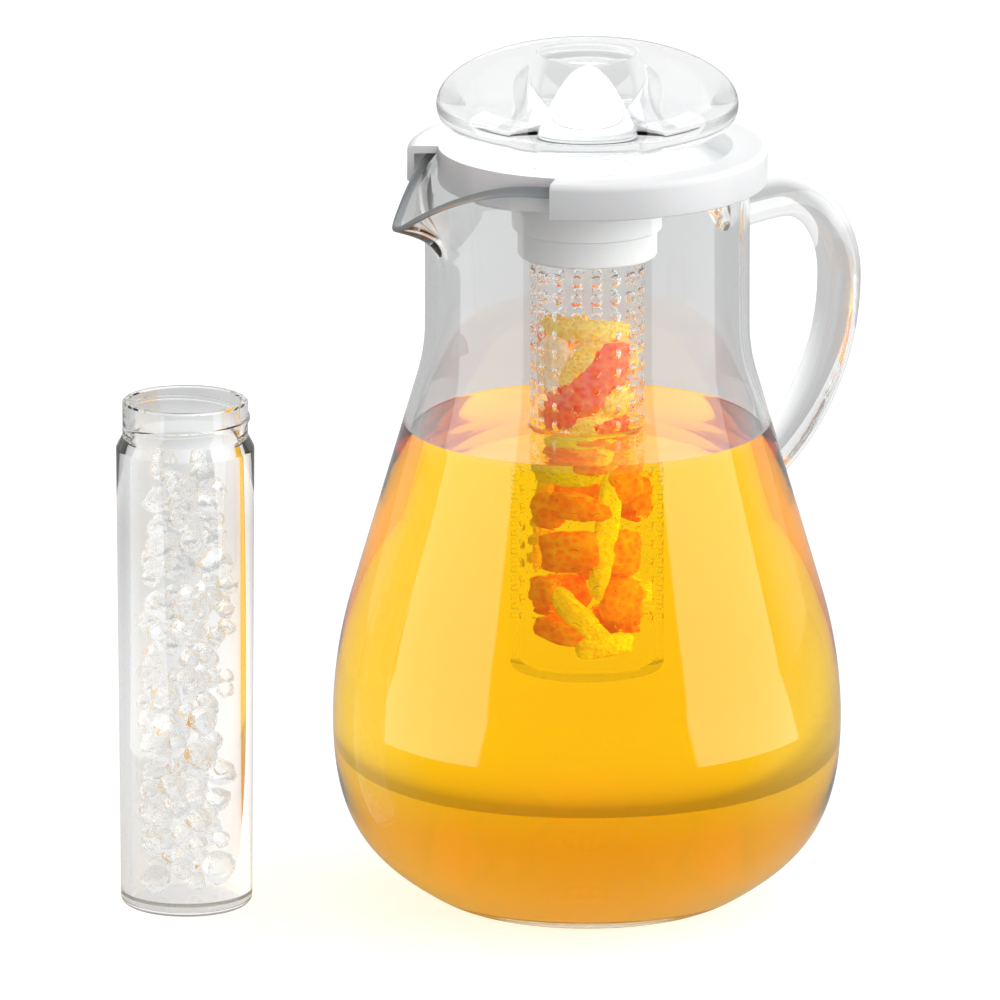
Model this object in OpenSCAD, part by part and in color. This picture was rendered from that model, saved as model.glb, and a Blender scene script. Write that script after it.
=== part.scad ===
// Fruit infuser pitcher: a clear jug with a bonded handle, a white lid with a clear hollow
// knob, a perforated fruit tube that screws into the lid, and a spare closed tube for ice.
// Millimetres. The foot's centre is the origin, the spout points along -X, the handle along +X.

/* [Pitcher body] */
// Height from the table to the rim
body_h = 247.5; // [230:0.5:265]
// Outside diameter of the straight neck
neck_d = 105; // [98:0.5:112]
// Height at which the straight neck begins
neck_z = 191; // [182:0.5:198]
// Radius of the curve from flank to neck
neck_curve_r = 60; // [40:1:66]
// Outside diameter at the widest part of the belly
belly_d = 165; // [156:0.5:174]
// Height of the widest part of the belly
belly_z = 59; // [52:0.5:66]
// Radius of the curve from belly to flank
belly_curve_r = 150; // [130:1:160]
// Diameter of the flat foot
foot_d = 94; // [84:0.5:104]
// Thickness of the moulded wall
wall_t = 3; // [2.4:0.1:4]
// Thickness of the floor
floor_t = 5; // [3:0.5:8]

/* [Spout] */
// How far the lip stands out past the neck
spout_reach = 20.2; // [16:0.2:24]
// How far the lip's tip lies below the rim
lip_drop = 18; // [14:0.5:22]
// Radius of the throat under the lip
throat_r = 14; // [11:0.5:15]
// Radius of the spout's nose seen from above
nose_r = 5; // [4:0.5:7]

/* [Handle] */
// How far the handle's outside stands out past the belly's widest point
handle_reach = 16.3; // [10:0.1:22]
// Depth of the grip, from its inside to its outside
grip_t = 12.8; // [10:0.2:15]
// Width of the grip
grip_w = 18; // [14:0.5:22]
// Height of the handle's upper root
root_t = 16; // [13:0.5:18]
// Distance of the crest's centre below the rim
crest_drop = 21.7; // [20:0.1:26]
// Distance of the crest out past the neck
crest_out = 17.5; // [14:0.5:21]
// Distance of the farthest point below the rim
side_drop = 50.5; // [46:0.5:56]
// Height at which the handle lands on the flank
landing_z = 135.5; // [128:0.5:142]

/* [Lid] */
// Gap between the neck and the inside of the skirt
skirt_gap = 3.4; // [3:0.1:5]
// Thickness of the skirt
skirt_t = 2.3; // [1.8:0.1:3]
// Depth of the skirt below the rim
skirt_h = 9.1; // [6:0.1:11]
// Radius on the lid's outer top edge
skirt_round = 2.2; // [1:0.1:2.4]
// Thickness of the flange that lies on the rim
flange_t = 2.5; // [2:0.1:4]
// Gap between the plug and the neck's bore
plug_gap = 1.2; // [0.6:0.1:2]
// Thickness of the plug's wall
plug_t = 2.4; // [1.8:0.1:3]
// Depth of the plug below the rim
plug_h = 9.5; // [8:0.1:12]
// Depth of the round recess in the lid's top
recess_h = 6.5; // [4:0.1:7.5]
// Thickness of the lid's floor
lid_floor_t = 2.4; // [2:0.1:3]
// Opening in the skirt for the spout, in degrees
spout_gap_angle = 75.7; // [74:0.1:90]
// Turn of the opening's middle from the spout, in degrees
lid_turn = 12.4; // [8:0.1:12.4]

/* [Knob] */
// Largest diameter of the knob
knob_d = 97.6; // [80:0.2:104]
// Height of the knob's domed upper half
dome_h = 19; // [16:0.5:24]
// Depth of the knob's lower half
base_h = 8.7; // [7:0.1:11]
// Wall of the knob
knob_t = 3; // [2:0.1:3.6]
// Diameter of the knob's stem
stem_d = 38; // [32:0.5:44]
// Wall of the stem
stem_t = 2.6; // [2:0.1:3.4]
// Clear height of the stem between lid and knob
stem_h = 11.5; // [8:0.5:16]

/* [Collar] */
// Thickness of the collar's wall round the thread
collar_t = 1.3; // [1.2:0.1:2]
// Thickness of the boss's wall round the collar
boss_t = 1.4; // [1.2:0.1:2.4]
// Height of the boss's lower edge below the rim
boss_drop = 24.5; // [22:0.5:28]
// Height of the collar that shows below the boss
collar_show = 9; // [7:0.5:12]
// Thickness of the collar's closed top
collar_top_t = 2.4; // [2:0.1:3.5]
// Thickness of the sealing washer
washer_t = 2.4; // [1.6:0.1:3]

/* [Tube thread] */
// Diameter of the tubes' necks
tube_neck_d = 40.6; // [39.6:0.1:41]
// Height of a tube's neck inside the collar
tube_neck_h = 11.6; // [11:0.1:12.4]
// Height of the thread's bead above the neck
bead_h = 0.7; // [0.5:0.05:0.8]
// Width of the bead at its foot
bead_w = 2; // [1.6:0.1:2.2]
// Rise of the thread in one turn
pitch = 6; // [5.4:0.1:6.2]

/* [Infuser tube] */
// Outside diameter of the perforated tube
infuser_d = 37.5; // [34:0.1:38.5]
// Whole length of the infuser tube
infuser_h = 150; // [120:1:160]
// Wall of the infuser tube
infuser_t = 1.8; // [1.4:0.1:2.4]
// Thickness of the infuser tube's floor
infuser_floor_t = 2.4; // [1.6:0.1:4]
// Diameter of a hole
hole_d = 3; // [2:0.1:4]
// Distance from one row of holes to the next
row_pitch = 6.1; // [5:0.1:8]
// Number of holes round the tube
holes_round = 18; // [12:2:20]
// Distance of the first row below the collar
first_row = 5; // [4:0.5:10]
// Plain band above the floor of the infuser tube
plain_band = 12; // [8:0.5:20]
// Bearing of the first column of holes from the handle, in degrees
first_hole_angle = 11.5; // [0:0.5:20]

/* [Ice tube] */
// Outside diameter at the ice tube's shoulder
ice_d = 44.8; // [43:0.1:46]
// Outside diameter at the ice tube's foot
ice_foot_d = 42.6; // [41:0.1:44]
// Height of the ice tube with its neck
ice_h = 168; // [140:1:180]
// Wall of the ice tube's neck
ice_neck_t = 2.4; // [2:0.1:3]
// Thickness of the ice tube's floor
ice_floor_t = 3; // [2:0.1:5]
// Height of the chamfer on the ice tube's shoulder
shoulder_h = 4; // [2:0.5:6]
// Radius on the ice tube's lower edge
ice_edge_r = 3; // [1:0.5:4]
// Distance of the ice tube's axis from the pitcher's axis
ice_out = 130.4; // [112:0.2:180]
// Bearing of the ice tube from the spout, in degrees
ice_bearing = 22.6; // [0:0.2:60]
// Bearing at which the ice tube's thread starts, in degrees
ice_thread_angle = 150; // [0:5:360]

/* [Hidden] */
$fn = 96;
// Overrun of every cut past the face it opens
cut = 1;
// Clearance between pieces that are bonded together
bond_gap = 0.15;
// Clearance between the threads, and round the washer
thread_gap = 0.25;
// Depth by which a bead is sunk in what carries it
bead_sink = 0.3;
// Share of its full height that a bead still has where it ends, inside what carries it
bead_end_share = 0.1;
// Depth by which the spout's flanks are sunk in the neck
spout_sink = 0.4;
// Distance from the crown of the lip's curve to where it leaves the rim
lip_lead = 2.6;
// Radius under the lip's tip
lip_edge_r = 2;
// Radius on the inner top edge of the lid's recess
recess_round = 2;
// Radius on the collar's lower edge
collar_round = 1;
// Distance the grip's ends run on inside the body, to be cut by its surface
handle_sink = 6;
// Width the handle gains at its upper root
root_flare = 2;
// Steps in each curve of the outlines
curve_steps = 16;
// Rings in each stretch of the handle, and points round its section
grip_rings = 14;
grip_sides = 28;
// Segments in one turn of a thread, and the turns it makes
turn_steps = 36;
thread_turns = 1;
// Rings up the spout's throat, and steps round its nose
throat_rings = 8;
nose_steps = 8;
// Sides of each small hole
hole_sides = 24;
// Handle points of the belly's lower curve: out and up from the foot, down from the belly
belly_shares = [0.55, 0.21, 0.65];
// Handle points of the knob's dome: up from the edge, out from the middle
dome_shares = [0.53, 0.61];
// Handle points of a quarter round
quarter_share = 0.55;
// Handle points of the grip's lower sweep, and its lean where it lands
sweep_shares = [0.39, 0.39];
landing_angle = 52;

neck_r = neck_d / 2;
bore_r = neck_r - wall_t;
belly_r = belly_d / 2;
foot_r = foot_d / 2;
spout_r = neck_r + spout_reach;
lip_z = body_h - lip_drop;
throat_z = lip_z - wall_t - throat_r + lip_edge_r / 4;
plug_r = bore_r - plug_gap;
skirt_inner_r = neck_r + skirt_gap;
skirt_r = skirt_inner_r + skirt_t;
lid_top_z = body_h + flange_t;
lid_floor_z = lid_top_z - recess_h;
knob_r = knob_d / 2;
stem_r = stem_d / 2;
knob_bottom_z = lid_floor_z + stem_h;
seam_z = knob_bottom_z + base_h;
knob_top_z = seam_z + dome_h;
tube_neck_r = tube_neck_d / 2;
bead_r = tube_neck_r + bead_h;
collar_bore_r = bead_r + thread_gap;
collar_r = collar_bore_r + collar_t;
boss_bore_r = collar_r + bond_gap;
boss_r = boss_bore_r + boss_t;
boss_z = body_h - boss_drop;
collar_z = boss_z - collar_show;
tube_top_z = collar_z + tube_neck_h;
washer_z = tube_top_z;
collar_ceiling_z = washer_z + washer_t;
collar_top_z = collar_ceiling_z + collar_top_t;
infuser_r = infuser_d / 2;
infuser_z = tube_top_z - infuser_h;
ice_x = -ice_out * cos(ice_bearing);
ice_y = ice_out * sin(ice_bearing);

// A point on a cubic curve, and the whole curve as a list of points
function cubic(p, t) =
    pow(1 - t, 3) * p[0] + 3 * t * pow(1 - t, 2) * p[1] + 3 * t * t * (1 - t) * p[2] + pow(t, 3) * p[3];
function curve(p, steps) = [for (i = [0:steps]) cubic(p, i / steps)];
function arc(centre, r, from, to, steps) =
    [for (i = [0:steps]) let (a = from + (to - from) * i / steps) centre + r * [cos(a), sin(a)]];

// The unit normal to the left of an outline at one of its points
function left_normal(path, i) =
    let (d = path[min(i + 1, len(path) - 1)] - path[max(i - 1, 0)]) [-d.y, d.x] / norm(d);
function inset(path, by) = [for (i = [0:len(path) - 1]) path[i] + by * left_normal(path, i)];

// Centres of the two curves that the straight flank joins, and the flank's lean
belly_centre = [belly_r - belly_curve_r, belly_z];
neck_centre = [neck_r + neck_curve_r, neck_z];
centres = neck_centre - belly_centre;
flank_angle = asin((belly_curve_r + neck_curve_r) / norm(centres)) - atan2(centres.x, centres.y);

// The body's outside from the foot up to the start of the straight neck
function body_outline() = concat(
    curve([
        [foot_r, 0],
        [foot_r + belly_shares[0] * (belly_r - foot_r), belly_shares[1] * belly_z],
        [belly_r, (1 - belly_shares[2]) * belly_z],
        [belly_r, belly_z]
    ], curve_steps),
    [for (i = [1:curve_steps]) belly_centre
        + belly_curve_r * [cos(flank_angle * i / curve_steps), sin(flank_angle * i / curve_steps)]],
    arc(neck_centre, neck_curve_r, 180 + flank_angle, 180, curve_steps)
);

// Radius of the flank's outside at a height on its straight stretch
flank_foot = belly_centre + belly_curve_r * [cos(flank_angle), sin(flank_angle)];
function flank_r(z) = flank_foot.x - (z - flank_foot.y) * tan(flank_angle);

module body_solid() {
    rotate_extrude()
        polygon(concat([[0, 0]], body_outline(), [[neck_r, body_h], [0, body_h]]));
}

module body_cavity() {
    intersection() {
        rotate_extrude()
            polygon(concat([[0, 0]], inset(body_outline(), wall_t), [[bore_r, body_h + cut], [0, body_h + cut]]));
        translate([0, 0, floor_t])
            cylinder(r = belly_r, h = body_h + cut);
    }
}

// One level of the spout: two flanks that leave the neck's circle and meet in a round nose
function spout_ring(side_r, reach_r, z) =
    let (
        nose_x = reach_r - nose_r,
        a = acos((side_r - nose_r) / nose_x)
    )
    concat(
        [[0, 0, z], [side_r * cos(a), -side_r * sin(a), z]],
        [for (i = [0:nose_steps]) let (b = a * (2 * i / nose_steps - 1))
            [nose_x + nose_r * cos(b), nose_r * sin(b), z]],
        [[side_r * cos(a), side_r * sin(a), z]]
    );

// How far the spout reaches at each height: a hollow throat, then the lip's rounded edge
function spout_levels(side_r, reach_r, low_z, top_z) = concat(
    [[side_r - spout_sink / 2, low_z]],
    [for (i = [1:throat_rings]) let (a = 90 * i / throat_rings)
        [side_r + throat_r * (1 - cos(a)), low_z + throat_r * sin(a)]],
    [for (i = [1:nose_steps / 2]) let (a = 180 * i / nose_steps)
        [reach_r - lip_edge_r * (1 - sin(a)), low_z + throat_r + lip_edge_r * (1 - cos(a)) + spout_sink]],
    [[reach_r, top_z]]
);

module spout_solid(side_r, reach_r, low_z, top_z) {
    levels = spout_levels(side_r, reach_r, low_z, top_z);
    rings = [for (v = levels) spout_ring(side_r - spout_sink, v[0], v[1])];
    n = len(rings[0]);
    points = [for (ring = rings) each ring];
    sides = [for (k = [0:len(rings) - 2], i = [0:n - 1]) let (a = k * n + i, b = k * n + (i + 1) % n)
        each [[a, a + n, b + n], [a, b + n, b]]];
    bottom = [for (i = [1:n - 2]) [0, i, i + 1]];
    top = [for (i = [1:n - 2]) let (t = (len(rings) - 1) * n) [t, t + i + 1, t + i]];
    rotate([0, 0, 180])
        polyhedron(points, concat(sides, bottom, top));
}

// What the falling curve of the lip takes off the spout's top
module lip_cut() {
    start_x = neck_r * (neck_r - nose_r) / (spout_r - nose_r);
    reach = spout_r - start_x;
    rise = (pow(reach + lip_lead, 2) - pow(lip_lead, 2) - pow(lip_drop, 2)) / (2 * lip_drop) + lip_drop;
    lip_curve_r = norm([lip_lead, rise]);
    centre_x = start_x - lip_lead;
    centre_z = body_h - rise;
    rotate([0, 0, 180])
        difference() {
            translate([centre_x, -neck_r, centre_z])
                cube([spout_r, neck_d, rise + cut]);
            translate([centre_x, 0, centre_z])
                rotate([90, 0, 0])
                    cylinder(r = lip_curve_r, h = neck_d + 2 * cut, center = true);
        }
}

module pitcher_body() {
    color([0.93, 0.95, 0.96, 0.35])
        difference() {
            union() {
                body_solid();
                spout_solid(neck_r, spout_r, throat_z, body_h);
            }
            body_cavity();
            spout_solid(bore_r, spout_r - wall_t, throat_z + wall_t, body_h + cut);
            lip_cut();
        }
}

// The line that the middle of the grip follows, as points of distance from the axis and height
function grip_line() =
    let (
        crest = [neck_r + crest_out, body_h - crest_drop],
        side = [belly_r + handle_reach - grip_t / 2, body_h - side_drop],
        root = [neck_r - handle_sink, crest.y - handle_sink / 2],
        landing = [flank_r(landing_z) - handle_sink / 2, landing_z],
        sweep = side.y - landing.y,
        back = [sin(landing_angle), cos(landing_angle)]
    )
    concat(
        curve([root, root + [handle_sink, handle_sink / 4], crest - [handle_sink, 0], crest], grip_rings),
        [for (i = [1:grip_rings]) cubic([
            crest,
            crest + [quarter_share * (side.x - crest.x), 0],
            side + [0, quarter_share * (crest.y - side.y)],
            side
        ], i / grip_rings)],
        [for (i = [1:grip_rings]) cubic([
            side,
            side - [0, sweep_shares[0] * sweep],
            landing + sweep_shares[1] * sweep * back,
            landing
        ], i / grip_rings)],
        [landing - handle_sink * back]
    );

// An oval section carried along a line in the XZ plane, larger at its start
module grip_sweep(line) {
    last = len(line) - 1;
    rings = [for (k = [0:last]) let (
            across = left_normal(line, k),
            near_root = max(0, 1 - k / (2 * grip_rings)),
            a = grip_t / 2 + near_root * (root_t - grip_t) / 2,
            b = grip_w / 2 + near_root * root_flare / 2
        )
        [for (i = [0:grip_sides - 1]) let (t = 360 * i / grip_sides)
            [line[k].x + a * cos(t) * across.x, b * sin(t), line[k].y + a * cos(t) * across.y]]];
    points = [for (ring = rings) each ring];
    sides = [for (k = [0:last - 1], i = [0:grip_sides - 1])
        let (p = k * grip_sides + i, q = k * grip_sides + (i + 1) % grip_sides)
        each [[p, q + grip_sides, p + grip_sides], [p, q, q + grip_sides]]];
    start = [for (i = [1:grip_sides - 2]) [0, i + 1, i]];
    end = [for (i = [1:grip_sides - 2]) let (e = last * grip_sides) [e, e + i, e + i + 1]];
    polyhedron(points, concat(sides, start, end));
}

module handle() {
    color([0.93, 0.95, 0.96, 0.35])
        difference() {
            grip_sweep(grip_line());
            body_solid();
        }
}

// The flange on the rim and the skirt round it, open where the spout stands
module flange_and_skirt() {
    edge = arc([skirt_r - skirt_round, lid_top_z - skirt_round], skirt_round, 90, 0, curve_steps / 2);
    rotate([0, 0, 180 + lid_turn + spout_gap_angle / 2])
        rotate_extrude(angle = 360 - spout_gap_angle)
            polygon(concat(
                [[plug_r - plug_t / 2, body_h], [plug_r - plug_t / 2, lid_top_z]],
                edge,
                [[skirt_r, body_h - skirt_h], [skirt_inner_r, body_h - skirt_h], [skirt_inner_r, body_h]]
            ));
}

// The plug inside the rim, its sunk floor and the edge round the recess
module plug_and_floor() {
    inner_r = plug_r - plug_t;
    rotate_extrude()
        polygon(concat(
            [[0, lid_floor_z - lid_floor_t], [inner_r, lid_floor_z - lid_floor_t], [inner_r, body_h - plug_h]],
            [[plug_r, body_h - plug_h], [plug_r, lid_top_z]],
            arc([inner_r + recess_round, lid_top_z - recess_round], recess_round, 90, 180, curve_steps / 2),
            [[inner_r, lid_floor_z], [0, lid_floor_z]]
        ));
}

// The hollow boss under the floor that the collar is bonded into
module collar_boss() {
    difference() {
        translate([0, 0, boss_z])
            cylinder(r = boss_r, h = lid_floor_z - lid_floor_t - boss_z);
        translate([0, 0, boss_z - cut])
            cylinder(r = boss_bore_r, h = collar_top_z - boss_z + cut);
        cylinder(r = boss_bore_r - boss_t, h = lid_floor_z - lid_floor_t);
    }
}

module lid() {
    color("white")
        union() {
            flange_and_skirt();
            plug_and_floor();
            collar_boss();
        }
}

// The upper outline of the knob from its seam to its middle
function dome_outline() = curve([
    [knob_r, seam_z],
    [knob_r, seam_z + dome_shares[0] * dome_h],
    [dome_shares[1] * knob_r, knob_top_z],
    [0, knob_top_z]
], 2 * curve_steps);

module knob_dome() {
    color([0.93, 0.95, 0.96, 0.35])
        difference() {
            union() {
                rotate_extrude()
                    polygon(concat([[0, seam_z]], dome_outline()));
                translate([0, 0, lid_floor_z])
                    cylinder(r = stem_r, h = seam_z - lid_floor_z);
            }
            difference() {
                rotate_extrude()
                    polygon(concat(
                        [[0, seam_z - cut], [knob_r - knob_t, seam_z - cut]],
                        [for (i = [0:2 * curve_steps - 1]) inset(dome_outline(), knob_t)[i]],
                        [[0, knob_top_z - knob_t]]
                    ));
                translate([0, 0, lid_floor_z])
                    cylinder(r = stem_r, h = knob_top_z - lid_floor_z);
            }
            translate([0, 0, lid_floor_z - cut])
                cylinder(r = stem_r - stem_t, h = knob_top_z - knob_t - lid_floor_z + cut);
        }
}

module knob_base() {
    hole_r = stem_r + bond_gap;
    centre = [knob_r - base_h, seam_z];
    color([0.93, 0.95, 0.96, 0.35])
        rotate_extrude()
            polygon(concat(
                [[hole_r, knob_bottom_z + knob_t], [hole_r, knob_bottom_z]],
                arc(centre, base_h, 270, 360, curve_steps),
                arc(centre, base_h - knob_t, 360, 270, curve_steps)
            ));
}

// A helical bead of one turn: a trapezium carried round and up. Side is 1 for a bead that
// stands out of a neck and -1 for one that stands into a bore.
module thread_bead(face_r, z, side) {
    steps = turn_steps * thread_turns;
    base_r = face_r - side * bead_sink;
    crest_r = face_r + side * bead_h;
    rings = [for (i = [0:steps]) let (
            a = 360 * i / turn_steps,
            h = z + pitch * i / turn_steps,
            slim = min(1, 4 * min(i, steps - i) / turn_steps + bead_end_share),
            r = base_r + (crest_r - base_r) * slim
        )
        [for (p = [[base_r, -1 / 2], [r, -1 / 4], [r, 1 / 4], [base_r, 1 / 2]])
            [p[0] * cos(a), p[0] * sin(a), h + p[1] * bead_w]]];
    points = [for (ring = rings) each ring];
    flip = side < 0;
    sides = [for (k = [0:steps - 1], i = [0:3]) let (p = 4 * k + i, q = 4 * k + (i + 1) % 4)
        each flip ? [[p, p + 4, q + 4], [p, q + 4, q]] : [[p, q + 4, p + 4], [p, q, q + 4]]];
    e = 4 * steps;
    ends = flip
        ? [[0, 1, 2], [0, 2, 3], [e, e + 2, e + 1], [e, e + 3, e + 2]]
        : [[0, 2, 1], [0, 3, 2], [e, e + 1, e + 2], [e, e + 2, e + 3]];
    polyhedron(points, concat(sides, ends));
}

// Height of the middle of a tube's bead where it starts, above the foot of the neck
bead_start = (tube_neck_h - pitch) / 2;

module collar() {
    color("white")
        union() {
            difference() {
                rotate_extrude()
                    polygon(concat(
                        [[0, collar_z], [collar_r - collar_round, collar_z]],
                        arc([collar_r - collar_round, collar_z + collar_round], collar_round, 270, 360, curve_steps / 4),
                        [[collar_r, collar_top_z], [0, collar_top_z]]
                    ));
                translate([0, 0, collar_z - cut])
                    cylinder(r = collar_bore_r, h = collar_ceiling_z - collar_z + cut);
            }
            rotate([0, 0, 180])
                thread_bead(collar_bore_r, collar_z + bead_start, -1);
        }
}

module core_washer() {
    color("gainsboro")
        translate([0, 0, washer_z])
            difference() {
                cylinder(r = collar_bore_r - thread_gap, h = washer_t);
                translate([0, 0, -cut])
                    cylinder(r = infuser_r - infuser_t, h = washer_t + 2 * cut);
            }
}

module infuser_tube() {
    inner_r = infuser_r - infuser_t;
    first_z = collar_z - first_row;
    last_z = infuser_z + plain_band;
    rows = floor((first_z - last_z) / row_pitch);
    color([0.93, 0.95, 0.96, 0.35])
        difference() {
            union() {
                translate([0, 0, infuser_z])
                    cylinder(r = infuser_r, h = infuser_h - tube_neck_h + cut);
                translate([0, 0, collar_z])
                    cylinder(r = tube_neck_r, h = tube_neck_h);
                thread_bead(tube_neck_r, collar_z + bead_start, 1);
            }
            translate([0, 0, infuser_z + infuser_floor_t])
                cylinder(r = inner_r, h = infuser_h);
            for (row = [0:rows], k = [0:holes_round - 1])
                translate([0, 0, first_z - row * row_pitch])
                    rotate([0, 90, first_hole_angle + k * 360 / holes_round])
                        translate([0, 0, inner_r - cut])
                            cylinder(d = hole_d, h = infuser_t + 2 * cut, $fn = hole_sides);
        }
}

module ice_tube() {
    shoulder_r = ice_d / 2;
    ice_foot_r = ice_foot_d / 2;
    inner_r = tube_neck_r - ice_neck_t;
    neck_foot_z = ice_h - tube_neck_h;
    color([0.93, 0.95, 0.96, 0.35])
        translate([ice_x, ice_y, 0]) rotate([0, 0, ice_thread_angle])
            difference() {
                union() {
                    rotate_extrude()
                        polygon(concat(
                            [[0, 0]],
                            arc([ice_foot_r - ice_edge_r, ice_edge_r], ice_edge_r, 270, 360, curve_steps / 2),
                            [[shoulder_r, neck_foot_z - shoulder_h], [tube_neck_r, neck_foot_z]],
                            [[tube_neck_r, ice_h], [0, ice_h]]
                        ));
                    thread_bead(tube_neck_r, neck_foot_z + bead_start, 1);
                }
                translate([0, 0, ice_floor_t])
                    cylinder(r = inner_r, h = ice_h);
            }
}

pitcher_body();
handle();
lid();
knob_dome();
knob_base();
collar();
core_washer();
infuser_tube();
ice_tube();
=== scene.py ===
# %% [markdown]
# A clear infuser pitcher, modelled and lit in Blender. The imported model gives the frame, and every
# shell of it is made again here as a smooth mesh, because clear plastic shows each facet it has.

# %% The frame
import math
import random

import bpy
from mathutils import Matrix, Vector, noise


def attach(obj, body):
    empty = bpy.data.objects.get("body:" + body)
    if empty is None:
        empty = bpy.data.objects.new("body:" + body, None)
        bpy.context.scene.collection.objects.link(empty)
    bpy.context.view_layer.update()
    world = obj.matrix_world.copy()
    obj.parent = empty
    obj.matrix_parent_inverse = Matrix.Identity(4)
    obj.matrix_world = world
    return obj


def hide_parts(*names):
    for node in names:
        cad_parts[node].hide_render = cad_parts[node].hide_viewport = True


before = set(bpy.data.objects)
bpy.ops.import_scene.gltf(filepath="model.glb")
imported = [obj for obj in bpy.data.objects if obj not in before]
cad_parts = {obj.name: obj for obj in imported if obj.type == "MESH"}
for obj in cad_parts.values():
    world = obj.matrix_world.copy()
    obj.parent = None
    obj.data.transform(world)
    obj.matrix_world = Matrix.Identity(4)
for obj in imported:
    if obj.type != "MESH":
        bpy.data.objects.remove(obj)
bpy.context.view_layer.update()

# %% [markdown]
# All sizes are written in millimetres, as on a drawing, and turned to metres by one scale. The
# spout points along -X and the handle along +X, as in the frame.

# %% Scale and the sizes that several pieces share
MM = 0.001
RIM_Z = 247.5
NECK_R = 52.5
WALL = 3.0
BORE_R = NECK_R - WALL
JUICE_Z = 157.0
LID_TOP_Z = 250.0
LID_FLOOR_Z = 243.5
THROAT_Z = 213.0
SPOUT_R = 72.7
NOSE_R = 5.0
TUBE_R = 18.75
TUBE_BORE_R = 16.95
TUBE_NECK_R = 20.3
TUBE_FOOT_Z = 75.6
TUBE_TOP_Z = 225.6
COLLAR_FOOT_Z = 214.0
SPIN_STEPS = 144


# %% [markdown]
# Most pieces here are round: they were moulded in a turned mould. So one helper draws a section
# from a single point, extruded along the outline as with the E key, and spins it round the axis.

# %% Small helpers for modelling
def deselect():
    if bpy.context.mode != "OBJECT":
        bpy.ops.object.mode_set(mode="OBJECT")
    bpy.ops.object.select_all(action="DESELECT")


def activate(piece):
    deselect()
    piece.select_set(True)
    bpy.context.view_layer.objects.active = piece


def edit_all(piece):
    activate(piece)
    bpy.ops.object.mode_set(mode="EDIT")
    bpy.ops.mesh.select_mode(type="VERT")
    bpy.ops.mesh.select_all(action="SELECT")


def draw_section(name, outline):
    """An open chain of edges through points of (distance from the axis, height), in millimetres."""
    deselect()
    first = outline[0]
    bpy.ops.mesh.primitive_plane_add(size=MM, location=(first[0] * MM, 0, first[1] * MM))
    piece = bpy.context.object
    piece.name = name
    edit_all(piece)
    bpy.ops.mesh.merge(type="CENTER")
    for here, there in zip(outline, outline[1:]):
        step = ((there[0] - here[0]) * MM, 0, (there[1] - here[1]) * MM)
        bpy.ops.mesh.extrude_region_move(TRANSFORM_OT_translate={"value": step})
    bpy.ops.object.mode_set(mode="OBJECT")
    bpy.ops.object.transform_apply(location=True, rotation=True, scale=True)
    return piece


def tidy(piece, gap=0.004):
    """Merges points that coincide and turns all faces outwards."""
    edit_all(piece)
    bpy.ops.mesh.remove_doubles(threshold=gap * MM)
    bpy.ops.mesh.normals_make_consistent(inside=False)
    bpy.ops.object.mode_set(mode="OBJECT")
    return piece


def lathe(name, outline, closed=False, steps=SPIN_STEPS):
    """Spins an outline once round the upright axis. A closed outline makes a ring."""
    points = list(outline) + [outline[0]] if closed else list(outline)
    piece = draw_section(name, points)
    edit_all(piece)
    bpy.ops.mesh.spin(steps=steps, angle=2 * math.pi, center=(0, 0, 0), axis=(0, 0, 1))
    bpy.ops.object.mode_set(mode="OBJECT")
    tidy(piece)
    print(name, "has", len(piece.data.polygons), "faces")
    return piece


def smooth(piece, angle=None):
    activate(piece)
    if angle is None:
        bpy.ops.object.shade_smooth()
    else:
        bpy.ops.object.shade_smooth_by_angle(angle=math.radians(angle))
    return piece


def apply_modifier(piece, kind, **settings):
    activate(piece)
    modifier = piece.modifiers.new(kind.title(), kind)
    for key, value in settings.items():
        setattr(modifier, key, value)
    bpy.ops.object.modifier_apply(modifier=modifier.name)
    return piece


def arc(centre, radius, start, end, steps):
    """Points on a circle's arc, with angles in degrees from the outward direction."""
    angles = [math.radians(start + (end - start) * i / steps) for i in range(steps + 1)]
    return [(centre[0] + radius * math.cos(a), centre[1] + radius * math.sin(a)) for a in angles]


def bezier(p, steps):
    """Points on a cubic curve with the four given control points."""
    points = []
    for i in range(steps + 1):
        t = i / steps
        w = ((1 - t) ** 3, 3 * t * (1 - t) ** 2, 3 * t * t * (1 - t), t ** 3)
        points.append(tuple(sum(w[k] * p[k][axis] for k in range(4)) for axis in range(len(p[0]))))
    return points


def stretch(start, end, steps):
    """Points spaced evenly between two ends, without the first."""
    return [tuple(a + (b - a) * i / steps for a, b in zip(start, end)) for i in range(1, steps + 1)]


def offset(outline, distance):
    """The outline moved to its left by a distance, point by point."""
    moved = []
    for i, point in enumerate(outline):
        before = outline[max(i - 1, 0)]
        after = outline[min(i + 1, len(outline) - 1)]
        dx, dz = after[0] - before[0], after[1] - before[1]
        length = math.hypot(dx, dz)
        moved.append((point[0] - dz / length * distance, point[1] + dx / length * distance))
    return moved


def sweep(name, rings):
    """One face extruded ring by ring, with the points of every ring then put where the ring says."""
    sides = len(rings[0])
    deselect()
    bpy.ops.mesh.primitive_circle_add(vertices=sides, radius=MM, fill_type="NGON")
    piece = bpy.context.object
    piece.name = name
    bpy.ops.object.mode_set(mode="EDIT")
    bpy.ops.mesh.select_all(action="SELECT")
    for _ in rings[1:]:
        bpy.ops.mesh.extrude_region_move(TRANSFORM_OT_translate={"value": (0, 0, MM)})
    bpy.ops.object.mode_set(mode="OBJECT")
    for k, ring in enumerate(rings):
        for i, place in enumerate(ring):
            piece.data.vertices[k * sides + i].co = Vector(place) * MM
    return tidy(piece)


# %% [markdown]
# A material starts as one Principled shader. Clear plastic also lets shadow rays through, as a
# bright room does: without that, what stands inside a clear wall would be lit by nothing.

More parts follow.
